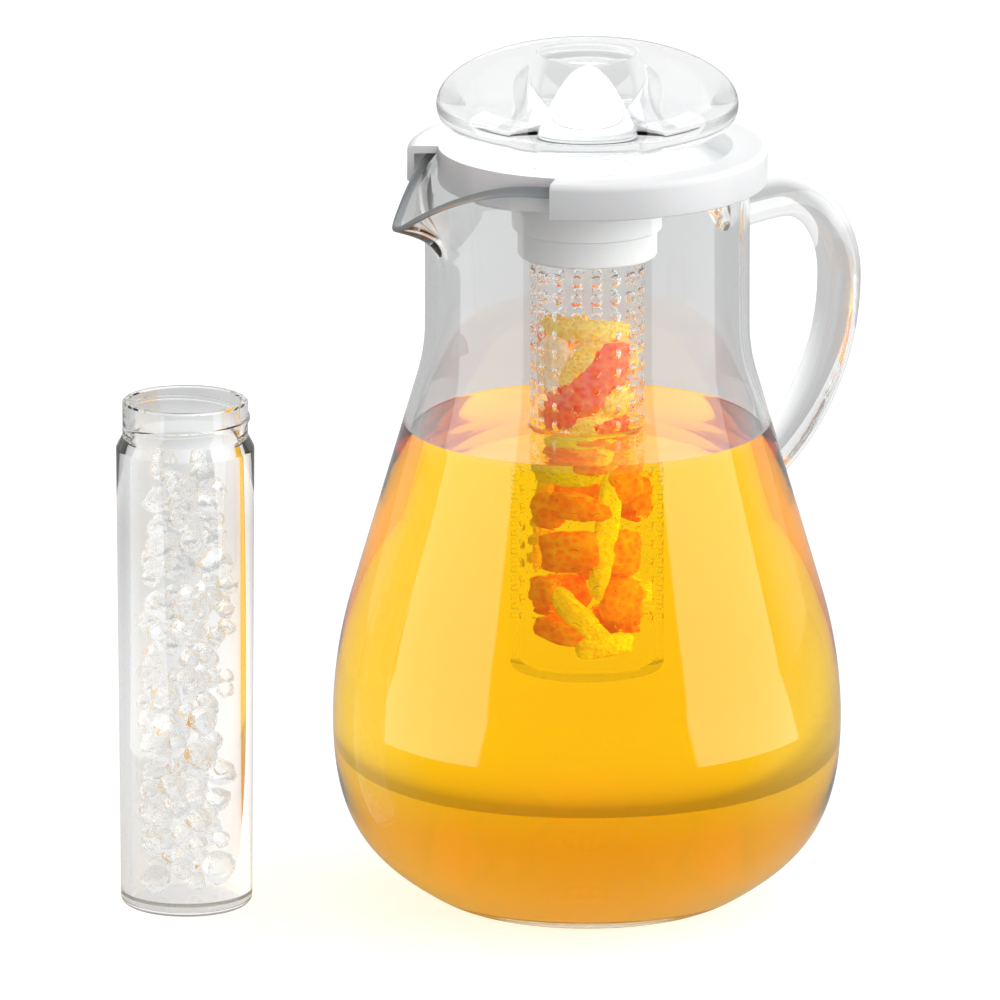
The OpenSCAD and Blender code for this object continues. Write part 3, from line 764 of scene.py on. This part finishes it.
# %% [markdown]
# The juice fills the body up to a level surface that climbs a little at the wall. Its mesh reaches
# a hair into the wall, because two faces in one place would leave dark specks. Its colour comes
# from its depth: it takes out blue at once and green slowly, so that it is yellow where thin.

# %% The juice
JUICE_OVERLAP = 0.06
# Where the juice's side stops following the wall's own points, this far under its surface
SIDE_STOP = 6
juice, tree, shader, output = new_material("orange_juice", "FFFFFF", 0.0, 1.33, 1.0)
shader.inputs["Specular Tint"].default_value = linear("404040")
# A density of 200 sets the loss over 5 mm: no red to speak of, 2% of green and half of blue
absorb = add(tree, "ShaderNodeVolumeAbsorption", Density=200.0)
absorb.inputs["Color"].default_value = (0.9996, 0.9788, 0.3, 1.0)
tree.links.new(absorb.outputs[0], output.inputs["Volume"])
juice_side = offset(side_line, WALL - JUICE_OVERLAP)
wet_wall = [p for p in juice_side if FLOOR_T + HOLLOW_H < p[1] < JUICE_Z - SIDE_STOP]
above = next(i for i, p in enumerate(juice_side) if p[1] > JUICE_Z)
low_p, high_p = juice_side[above - 1], juice_side[above]
slope = (high_p[0] - low_p[0]) / (high_p[1] - low_p[1])
top_r = low_p[0] + (JUICE_Z - low_p[1]) * slope
bottom_z = FLOOR_T - JUICE_OVERLAP
at_wall = [(top_r - SIDE_STOP * slope + 0.02, JUICE_Z - SIDE_STOP), (top_r + 0.3 * slope, JUICE_Z + 0.3),
           (top_r - 0.6, JUICE_Z + 0.05), (top_r - 1.5, JUICE_Z)]
at_tube = [(21.5, JUICE_Z), (20.1, JUICE_Z + 0.15), (19.2, JUICE_Z + 0.6), (18.7, JUICE_Z + 1.1),
           (17.0, JUICE_Z + 0.9), (16.2, JUICE_Z + 0.3), (14.5, JUICE_Z)]
fill_section = (
    [(0, bottom_z), (20, bottom_z), (inner_side[0][0] - 8, bottom_z),
     (inner_side[0][0] - 3, bottom_z + 0.4)]
    + wet_wall + at_wall + [(30, JUICE_Z)] + at_tube + [(0, JUICE_Z)]
)
fill = lathe("juice_fill", fill_section)
smooth(fill, 50)
dress(fill, juice)
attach(fill, "pitcher")

# %% [markdown]
# The bottom of the juice is painted a deeper orange, as painted shade where light travels further through
# it. The layer that does it is the same juice as above it, so it bends no light: its index is 1, its side
# stays clear of the wall, and it only takes out colour.

# %% The painted shade at the bottom
BOTTOM_SHADE_TOP_Z = 36.0
bottom_shade, tree, shader, output = new_material("painted_bottom_shade", "FFFFFF", 0.0, 1.0, 1.0)
# A density of 20 sets the loss over 50 mm: an eighth of green and a little more of blue
absorb = add(tree, "ShaderNodeVolumeAbsorption", Density=20.0)
absorb.inputs["Color"].default_value = (0.999, 0.86, 0.8, 1.0)
tree.links.new(absorb.outputs[0], output.inputs["Volume"])
low_wall = [p for p in offset(side_line, WALL + 0.3) if FLOOR_T + 1.8 < p[1] < BOTTOM_SHADE_TOP_Z]
bottom_shade_piece = lathe("bottom_shade_layer", [(0, FLOOR_T + 0.3), (inner_side[0][0] - 8, FLOOR_T + 0.3)] + low_wall
                + [(low_wall[-1][0], BOTTOM_SHADE_TOP_Z), (0, BOTTOM_SHADE_TOP_Z)])
dress(bottom_shade_piece, bottom_shade)
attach(bottom_shade_piece, "pitcher")

# %% [markdown]
# The tube holds cut citrus: lumps of red-orange flesh, grainy with juice sacs of about 2 mm, and
# strips of yellow peel. A lump is a cube rounded by a Cast modifier, roughened with noise, and bent
# to lie along the tube's wall. Flesh lets some light in, which subsurface scattering gives.

# %% Citrus flesh and peel
PATCH_MM = 9


def citrus(name, deep, pale, grain_mm, share, glow):
    """Two colours mixed by juice sacs and by slower patches. share is how far the deep one goes, and glow
    is the strength of a painted glow in these colours.
    """
    material, tree, shader, _ = new_material(name, deep, 0.35, 1.36)
    where = add(tree, "ShaderNodeTexCoord")
    sacs = add(tree, "ShaderNodeTexVoronoi", {"Vector": where.outputs["Object"]}, Scale=1000 / grain_mm)
    cloud = add(tree, "ShaderNodeTexNoise", {"Vector": where.outputs["Object"]},
                Scale=1000 / PATCH_MM, Detail=3.0)
    blend = add(tree, "ShaderNodeMath", {0: sacs.outputs[0], 1: cloud.outputs[0]}, operation="MULTIPLY")
    ramp = add(tree, "ShaderNodeValToRGB", {"Fac": blend.outputs[0]})
    ramp.color_ramp.elements[0].position = share - 0.12
    ramp.color_ramp.elements[0].color = linear(deep)
    ramp.color_ramp.elements[1].position = share + 0.22
    ramp.color_ramp.elements[1].color = linear(pale)
    tree.links.new(ramp.outputs[0], shader.inputs["Base Color"])
    bump = add(tree, "ShaderNodeBump", {"Height": sacs.outputs[0]}, Strength=0.5, Distance=0.0006)
    tree.links.new(bump.outputs[0], shader.inputs["Normal"])
    shader.inputs["Subsurface Weight"].default_value = 0.4
    shader.inputs["Subsurface Scale"].default_value = 0.003
    # Painted light: the fruit glows a little in its own colour, in place of light that would shine through
    # it from behind
    tree.links.new(ramp.outputs[0], shader.inputs["Emission Color"])
    shader.inputs["Emission Strength"].default_value = glow
    return material


# The last number is each material's painted glow, which stands in for light through the fruit
flesh = citrus("citrus_flesh", "EC3A00", "FA8020", 2.2, 0.22, 0.3)
peel = citrus("citrus_peel", "FBB412", "FFDC5A", 1.2, 0.2, 0.22)
pith = citrus("citrus_pith", "FBC98A", "FFE6C0", 1.6, 0.2, 0.25)
# The fruit under the juice is painted paler: painted light that makes up for the light the juice takes out
# on its way to the fruit and back
flesh_painted_paler = citrus("citrus_flesh_painted_paler", "F98A48", "FFB860", 2.2, 0.22, 0.2)
peel_painted_paler = citrus("citrus_peel_painted_paler", "FFDC50", "FFEE9A", 1.2, 0.2, 0.2)


def citrus_piece(name, material, bearing, z, size, turn, depth, seed):
    """A rounded lump, size (width, height, thickness), bent to the tube's wall at a bearing."""
    deselect()
    bpy.ops.mesh.primitive_cube_add(size=2)
    piece = bpy.context.object
    piece.name = name
    edit_all(piece)
    bpy.ops.mesh.subdivide(number_cuts=6)
    bpy.ops.object.mode_set(mode="OBJECT")
    apply_modifier(piece, "CAST", factor=0.55, cast_type="SPHERE")
    apply_modifier(piece, "SUBSURF", levels=1, render_levels=1)
    tilt = math.radians(turn)
    shift = Vector((seed * 7.3, seed * 3.1, seed * 1.7))
    middle_r = TUBE_BORE_R - depth - size[2] / 2
    for vertex in piece.data.vertices:
        rough = 1 + 0.16 * noise.noise(vertex.co * 1.3 + shift) + 0.05 * noise.noise(vertex.co * 5 + shift)
        w, h, t = (c * rough * s / 2 for c, s in zip(vertex.co, size))
        side = w * math.cos(tilt) - h * math.sin(tilt)
        up = w * math.sin(tilt) + h * math.cos(tilt)
        radius = middle_r - t
        a = math.radians(bearing) + side / middle_r
        vertex.co = (radius * math.cos(a) * MM, radius * math.sin(a) * MM, (z + up) * MM)
    tidy(piece)
    smooth(piece)
    dress(piece, material)
    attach(piece, "infuser")


# %% The cut fruit
# Each row: kind, bearing from the photograph's front in degrees, height, (width, height,
# thickness), turn and depth from the wall
FRUIT_FRONT = 242.5
fruit = [
    ("peel", 0, 191.5, (31, 6.5, 5), -5, 0.5),
    ("peel", -8, 182.5, (6, 19, 4), -38, 0.3),
    ("flesh", 27, 183, (15, 12, 6), -18, 0.6),
    ("flesh", 0, 172.5, (24, 15, 7), 34, 0.5),
    ("pith", -48, 179, (13, 18, 5), 8, 0.4),
    ("flesh", -22, 176, (8, 14, 5), -30, 1.6),
    ("peel", 45, 168, (12, 10, 5), 0, 0.6),
    ("flesh", -40, 163, (14, 9, 6), 15, 0.5),
    ("peel", 2, 160.5, (15, 6, 4), -4, 0.8),
    ("flesh", 32, 159.5, (13, 5, 5), 0, 0.5),
    ("peel", -20, 152, (14, 5, 5), 8, 0.6),
    ("peel", -25, 143.5, (18, 8, 5), 0, 0.9),
    ("flesh", 6, 146, (9, 5, 4), 0, 0.5),
    ("flesh", 42, 140.5, (10, 13, 6), 0, 0.5),
    ("flesh", -18, 132.5, (11, 8, 6), -10, 0.4),
    ("flesh", -46, 130, (8, 10, 6), 0, 0.5),
    ("flesh", 10, 131, (7, 6, 5), -20, 0.6),
    ("peel", 21, 126, (5.5, 42, 4), -6, 0.8),
    ("flesh", -19, 117, (15, 12, 6), 5, 0.4),
    ("flesh", 42, 116, (9, 13, 5), 0, 0.6),
    ("flesh", 40, 100.5, (10, 13, 6), 0, 0.6),
    ("peel", -8, 95.5, (6, 20, 4), 38, 0.5),
    ("flesh", -32, 90.5, (12, 7, 6), -14, 0.5),
    ("flesh", -50, 103, (8, 8, 5), 0, 0.6),
    ("peel", 20, 86, (14, 6, 5), 4, 0.6),
    ("peel", 120, 180, (26, 7, 5), 12, 0.5),
    ("flesh", 150, 168, (22, 14, 7), 25, 0.5),
    ("peel", 200, 178, (7, 22, 4), 15, 0.5),
    ("flesh", 235, 185, (14, 10, 6), 0, 0.5),
    ("flesh", 110, 152, (14, 12, 6), 0, 0.5),
    ("peel", 170, 148, (16, 6, 5), -10, 0.5),
    ("flesh", 230, 150, (15, 11, 6), 10, 0.5),
    ("flesh", 130, 130, (12, 14, 6), 0, 0.5),
    ("flesh", 190, 128, (13, 11, 6), 20, 0.5),
    ("peel", 225, 122, (6, 30, 4), 12, 0.5),
    ("flesh", 160, 108, (15, 12, 6), -15, 0.5),
    ("peel", 120, 98, (16, 7, 5), 20, 0.5),
    ("flesh", 210, 96, (13, 12, 6), 0, 0.5),
    ("flesh", 150, 88, (12, 8, 6), 0, 0.5),
]
dry = {"flesh": flesh, "peel": peel, "pith": pith}
# Pieces under the juice take the copies painted paler as painted light
painted_paler = {"flesh": flesh_painted_paler, "peel": peel_painted_paler, "pith": peel_painted_paler}
for k, (kind, bearing, z, size, turn, depth) in enumerate(fruit):
    material = (dry if z > JUICE_Z else painted_paler)[kind]
    citrus_piece(f"citrus_{kind}_{k:02d}", material, FRUIT_FRONT + bearing, z, size, turn, depth, k)
print("pieces of fruit:", len(fruit))

# %% [markdown]
# The tall tube holds crushed ice. One lump is made three times over: an icosphere is pushed about
# by noise and sliced flat in a few places, as a crusher splits ice. The lumps are copied into the
# tube one above another, each at its own angle, and only where they clear the lumps before them.

# %% Ice
ice, tree, shader, _ = new_material("clear_ice", "FFFFFF", 0.02, 1.31, 1.0)
roughen(tree, shader, 3, 0.7, 0.001, detail=3.0)


def ice_lump(seed):
    """A lump of about unit size: each cut lies a little further out than the one before it."""
    deselect()
    bpy.ops.mesh.primitive_ico_sphere_add(subdivisions=2, radius=1)
    piece = bpy.context.object
    shift = Vector((seed * 5.1, seed * 2.7, 0))
    for vertex in piece.data.vertices:
        vertex.co *= 0.86 + 0.3 * noise.noise(vertex.co * 1.1 + shift)
    for cut in range(5):
        a = cut * 2.4 + seed
        normal = Vector((math.sin(a), math.cos(a), math.sin(cut * 1.7 + 2 * seed)))
        normal.normalize()
        edit_all(piece)
        bpy.ops.mesh.bisect(plane_co=normal * (0.62 + 0.05 * cut), plane_no=normal, use_fill=True,
                            clear_outer=True)
        bpy.ops.object.mode_set(mode="OBJECT")
    tidy(piece, 1)
    return piece


# %% A place for each lump
LUMPS, LUMP_SMALL_R, LUMP_LARGE_R = 150, 3.2, 7.0
# Two lumps may overlap a little, because no lump fills its ball
CLOSENESS, MOST_MISSES = 0.72, 3000
ICE_TOP_Z, CLEARANCE = 148, 0.3
random.seed(7)
placed = []
misses = 0
while len(placed) < LUMPS and misses <= MOST_MISSES:
    radius = random.uniform(LUMP_SMALL_R, LUMP_LARGE_R)
    # The power crowds the lumps towards the wall, where they are seen
    out = (ICE_BORE_R - CLEARANCE - radius) * random.uniform(0, 1) ** 0.35
    a = random.uniform(0, 2 * math.pi)
    up = random.uniform(ICE_FLOOR_Z + 0.4 + radius, ICE_TOP_Z - radius)
    spot = Vector((out * math.cos(a), out * math.sin(a), up))
    if all((spot - other).length > CLOSENESS * (radius + r) for other, r in placed):
        placed.append((spot, radius))
        misses = 0
    else:
        misses += 1

# %% The tube's ice
lumps = [ice_lump(seed) for seed in (1, 2, 3)]
pieces = []
for k, (spot, radius) in enumerate(placed):
    copy = lumps[k % 3].copy()
    copy.data = lumps[k % 3].data.copy()
    bpy.context.scene.collection.objects.link(copy)
    roll = Matrix.Rotation(random.uniform(0, 6.28), 4, "X")
    turn = Matrix.Rotation(random.uniform(0, 6.28), 4, "Z")
    place = Matrix.Translation((Vector((ICE_X, ICE_Y, 0)) + spot) * MM)
    copy.data.transform(place @ roll @ turn @ Matrix.Scale(radius * MM, 4))
    pieces.append(copy)
deselect()
for piece in pieces:
    piece.select_set(True)
bpy.context.view_layer.objects.active = pieces[0]
bpy.ops.object.join()
crushed_ice = bpy.context.object
crushed_ice.name = "crushed_ice"
for lump in lumps:
    bpy.data.objects.remove(lump)
smooth(crushed_ice, 32)
dress(crushed_ice, ice)
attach(crushed_ice, "ice_tube")
print("lumps of ice:", len(placed), "faces:", len(crushed_ice.data.polygons))

# %% [markdown]
# The camera stands where the photographer's did: a little above the rim, far off with a long lens.

# %% The camera
CAMERA_BEARING, CAMERA_RISE, CAMERA_AWAY = 242.5, 14.2, 8.0
MM_PER_PIXEL, IMAGE_PIXELS = 0.3238, 1000
SENSOR = 36.0
# The image's middle, in millimetres to the right of the pitcher's axis and above the table
MIDDLE_RIGHT, MIDDLE_UP = -28.2, 131.7
bearing = math.radians(CAMERA_BEARING)
right = Vector((-math.sin(bearing), math.cos(bearing), 0))
target = right * MIDDLE_RIGHT * MM + Vector((0, 0, MIDDLE_UP * MM))
rise = math.radians(CAMERA_RISE)
run = math.cos(rise)
away = Vector((math.cos(bearing) * run, math.sin(bearing) * run, math.sin(rise)))
lens = bpy.data.cameras.new("camera")
camera = bpy.data.objects.new("camera", lens)
bpy.context.scene.collection.objects.link(camera)
camera.location = target + away * CAMERA_AWAY
camera.rotation_euler = (-away).to_track_quat("-Z", "Y").to_euler()
lens.sensor_width = SENSOR
lens.lens = SENSOR * CAMERA_AWAY / (IMAGE_PIXELS * MM_PER_PIXEL * MM)
lens.clip_end = 50
bpy.context.scene.camera = camera
print("the lens is", round(lens.lens), "mm long")

# %% [markdown]
# The light is a white studio, and it answers each kind of ray in its own way. Matt pieces are lit
# evenly, a little more from the right and from above. Rays that pass through clear pieces find a
# pale backdrop behind, a soft panel at each side and a greyer room in front. Rays that are mirrored
# off an outer face find that room dim and the panels bright, which gives clear plastic its two tall
# highlights. The camera itself sees plain white.

# %% Nodes that work out numbers
def maths(tree, operation, first, second=None):
    node = add(tree, "ShaderNodeMath", operation=operation)
    for k, value in enumerate((first, second)):
        if isinstance(value, (int, float)):
            node.inputs[k].default_value = value
        elif value is not None:
            tree.links.new(value, node.inputs[k])
    return node.outputs[0]


def product(tree, first, *others):
    for other in others:
        first = maths(tree, "MULTIPLY", first, other)
    return first


def between(tree, value, low, high, start=0.0, end=1.0):
    """start where value is below low, end above high, and a smooth step between."""
    node = add(tree, "ShaderNodeMapRange", {"Value": value}, interpolation_type="SMOOTHSTEP")
    for key, number in (("From Min", low), ("From Max", high), ("To Min", start), ("To Max", end)):
        node.inputs[key].default_value = number
    return node.outputs[0]


def only_mirrored(tree, path):
    """1 for a ray that was mirrored off an outer face, 0 for one that passed through a wall."""
    mirrored = maths(tree, "SUBTRACT", path.outputs["Is Glossy Ray"], path.outputs["Is Transmission Ray"])
    return maths(tree, "MAXIMUM", mirrored, 0.0)


def not_lighting(tree, path):
    """1 for a ray that the camera sees, 0 for one that gathers light for a matt surface."""
    return maths(tree, "LESS_THAN", path.outputs["Diffuse Depth"], 0.5)


# Each soft panel's two edges, in degrees from the camera's side, and how soft they are
PANEL_FROM, PANEL_TO, PANEL_BLUR = 45, 99, 2


def panel_mask(tree, bearing):
    """1 where a bearing lies within a panel's two edges."""
    first, last, blur = (math.radians(a) for a in (PANEL_FROM, PANEL_TO, PANEL_BLUR))
    return product(tree, between(tree, bearing, first, first + blur),
                   between(tree, bearing, last, last + blur, 1.0, 0.0))


# %% The studio's light
world = bpy.data.worlds.new("studio")
bpy.context.scene.world = world
world.use_nodes = True
tree = world.node_tree
tree.nodes.clear()
where = add(tree, "ShaderNodeTexCoord")
turned = add(tree, "ShaderNodeVectorRotate", {"Vector": where.outputs["Generated"]},
             rotation_type="Z_AXIS")
turned.inputs["Angle"].default_value = math.radians(270 - CAMERA_BEARING)
# How much of a ray's direction is to the right, to the back and up, each from -1 to 1
parts = add(tree, "ShaderNodeSeparateXYZ", {"Vector": turned.outputs[0]})
side_x, back_y, up_z = parts.outputs

# What matt pieces are lit by, and how much more of it inside clear walls
MATT_BASE, MATT_RIGHT, MATT_TOP, INSIDE = 0.21, 1.85, 0.5, 2.9
matt = maths(tree, "ADD", MATT_BASE, between(tree, side_x, 0.0, 0.9, 0.0, MATT_RIGHT))
matt = maths(tree, "ADD", matt, between(tree, up_z, 0.1, 0.9, 0.0, MATT_TOP))

# What clear pieces show, and what outer faces mirror
ROOM_BACK, ROOM_FRONT, PANEL, CEILING = 0.92, 0.7, 0.85, 0.65
MIRRORED_FRONT, MIRRORED_PANEL = 0.15, 2.6
path = add(tree, "ShaderNodeLightPath")
mirrored = only_mirrored(tree, path)
front = maths(tree, "SUBTRACT", ROOM_FRONT, product(tree, mirrored, ROOM_FRONT - MIRRORED_FRONT))
to_back = between(tree, back_y, 0.0, 0.5)
room = maths(tree, "ADD", product(tree, to_back, ROOM_BACK),
             product(tree, maths(tree, "SUBTRACT", 1.0, to_back), front))
panel_light = maths(tree, "ADD", PANEL, product(tree, mirrored, MIRRORED_PANEL - PANEL))
off_axis = maths(tree, "ABSOLUTE", maths(tree, "ARCTAN2", side_x, product(tree, back_y, -1.0)))
below_top = between(tree, up_z, 0.55, 0.6, 1.0, 0.0)
room = maths(tree, "MAXIMUM", room, product(tree, panel_mask(tree, off_axis), below_top, panel_light))
room = maths(tree, "MAXIMUM", room, between(tree, up_z, 0.5, 0.85, 0.0, CEILING))

# %% Which ray gets which light
clear_ray = maths(tree, "MAXIMUM", path.outputs["Is Glossy Ray"], path.outputs["Is Transmission Ray"])
straight = not_lighting(tree, path)
level = add(tree, "ShaderNodeMix", {"Factor": product(tree, clear_ray, straight), "A": matt, "B": room})
# Light that reaches a matt piece through clear walls is raised by what these turn away
within = product(tree, path.outputs["Is Transmission Ray"], maths(tree, "SUBTRACT", 1.0, straight))
gain = maths(tree, "ADD", 1.0, product(tree, within, INSIDE - 1))
level = maths(tree, "MAXIMUM", product(tree, level.outputs[0], gain), path.outputs["Is Camera Ray"])
glow = add(tree, "ShaderNodeBackground", {"Strength": level}, Color=linear("FFFFFF"))
add(tree, "ShaderNodeOutputWorld", {"Surface": glow.outputs[0]})

# %% [markdown]
# The floor is a pale sheet of paper. It takes the soft shadow as a real sheet does, and a little
# light of its own brings it up to white for the camera. Through clear pieces its own light is painted:
# white nearby, a pale grey further off and to the left, and brighter right under the jug, as if the light
# fell away across the sheet. Outer faces mirror it dim in front, as the room there, with the two panels
# painted on it as bright light, so that these highlights run down the belly without a break.

# %% The floor's sheet
deselect()
bpy.ops.mesh.primitive_plane_add(size=8)
floor = bpy.context.object
floor.name = "studio_floor"
sheet, tree, shader, output = new_material("pale_paper_sheet", "A8A8A8", 0.9)
where = add(tree, "ShaderNodeTexCoord")
reach = add(tree, "ShaderNodeVectorMath", {"Vector": where.outputs["Object"]}, operation="LENGTH")
distance = reach.outputs["Value"]


def measured_along(direction):
    """How far a point of the sheet lies in a direction, in metres."""
    node = add(tree, "ShaderNodeVectorMath", {0: where.outputs["Object"]}, operation="DOT_PRODUCT")
    node.inputs[1].default_value = direction
    return node.outputs["Value"]


ahead = measured_along(away)
across = measured_along(right)

# %% How white the sheet shows through clear pieces
CAMERA_LIFT, MIRRORED_LIFT = 0.73, 0.1
NEAR_LIFT, FAR_LIFT, UNDER_LIFT, LEFT_SHARE = 0.6, 0.05, 0.3, 0.5
# Where each change of light starts and ends on the sheet, in metres from the pitcher's axis
FADE, BEHIND, UNDER, LEFT = (0.15, 0.8), (-0.45, -0.1), (0.08, 0.13), (-0.18, -0.09)
far_off = product(tree, between(tree, distance, *FADE), between(tree, ahead, *BEHIND, 1.0, 0.0))
through = maths(tree, "SUBTRACT", NEAR_LIFT, product(tree, far_off, NEAR_LIFT - FAR_LIFT))
# Painted light: the sheet's own light is raised right under the jug, where its shadow lies
through = maths(tree, "ADD", through, between(tree, distance, *UNDER, UNDER_LIFT, 0.0))
# Painted shade: the sheet's own light is greyer to the left, behind the tall tube, where the panel's light
# falls away
through = product(tree, through, between(tree, across, *LEFT, LEFT_SHARE, 1.0))
path = add(tree, "ShaderNodeLightPath")
straight = not_lighting(tree, path)
through = product(tree, through, product(tree, path.outputs["Is Transmission Ray"], straight))
glossy = product(tree, path.outputs["Is Glossy Ray"], MIRRORED_LIFT)
lift = maths(tree, "ADD", product(tree, path.outputs["Is Camera Ray"], CAMERA_LIFT),
             maths(tree, "ADD", through, glossy))
glow = add(tree, "ShaderNodeEmission", {"Strength": lift}, Color=linear("FFFFFF"))
both = add(tree, "ShaderNodeAddShader", {0: shader.outputs[0], 1: glow.outputs[0]})

# %% What outer faces mirror in the sheet
TABLE_END, TABLE_BLUR, DIM_LIGHT = 0.02, 0.1, 0.1
PANEL_FOOT, FOOT_BLUR = 0.33, 0.01
mirrored = product(tree, only_mirrored(tree, path), straight)
in_front = product(tree, between(tree, ahead, TABLE_END, TABLE_END + TABLE_BLUR), mirrored)
off_axis = maths(tree, "ARCTAN2", maths(tree, "ABSOLUTE", across), ahead)
# The two panels are painted on the sheet as light that only mirrored rays see
panel = product(tree, panel_mask(tree, off_axis),
                between(tree, distance, PANEL_FOOT, PANEL_FOOT + FOOT_BLUR), mirrored)
dim_level = maths(tree, "ADD", DIM_LIGHT, product(tree, panel, MIRRORED_PANEL))
dim = add(tree, "ShaderNodeEmission", {"Strength": dim_level}, Color=linear("FFFFFF"))
shown = add(tree, "ShaderNodeMixShader", {
    0: maths(tree, "MAXIMUM", in_front, panel),
    1: both.outputs[0],
    2: dim.outputs[0],
})
tree.links.new(shown.outputs[0], output.inputs["Surface"])
dress(floor, sheet)

# %% [markdown]
# A ray through the knob, the lid's opening, both walls and the tube crosses dozens of faces. Each
# one is a bounce, and a ray that runs out of bounces ends as a black speck, so they are generous.

# %% The render's light paths
cycles = bpy.context.scene.cycles
cycles.max_bounces = 48
cycles.transmission_bounces = 48
cycles.transparent_max_bounces = 32
cycles.glossy_bounces = 24
cycles.diffuse_bounces = 4

bpy.context.scene.view_settings.view_transform = "Standard"
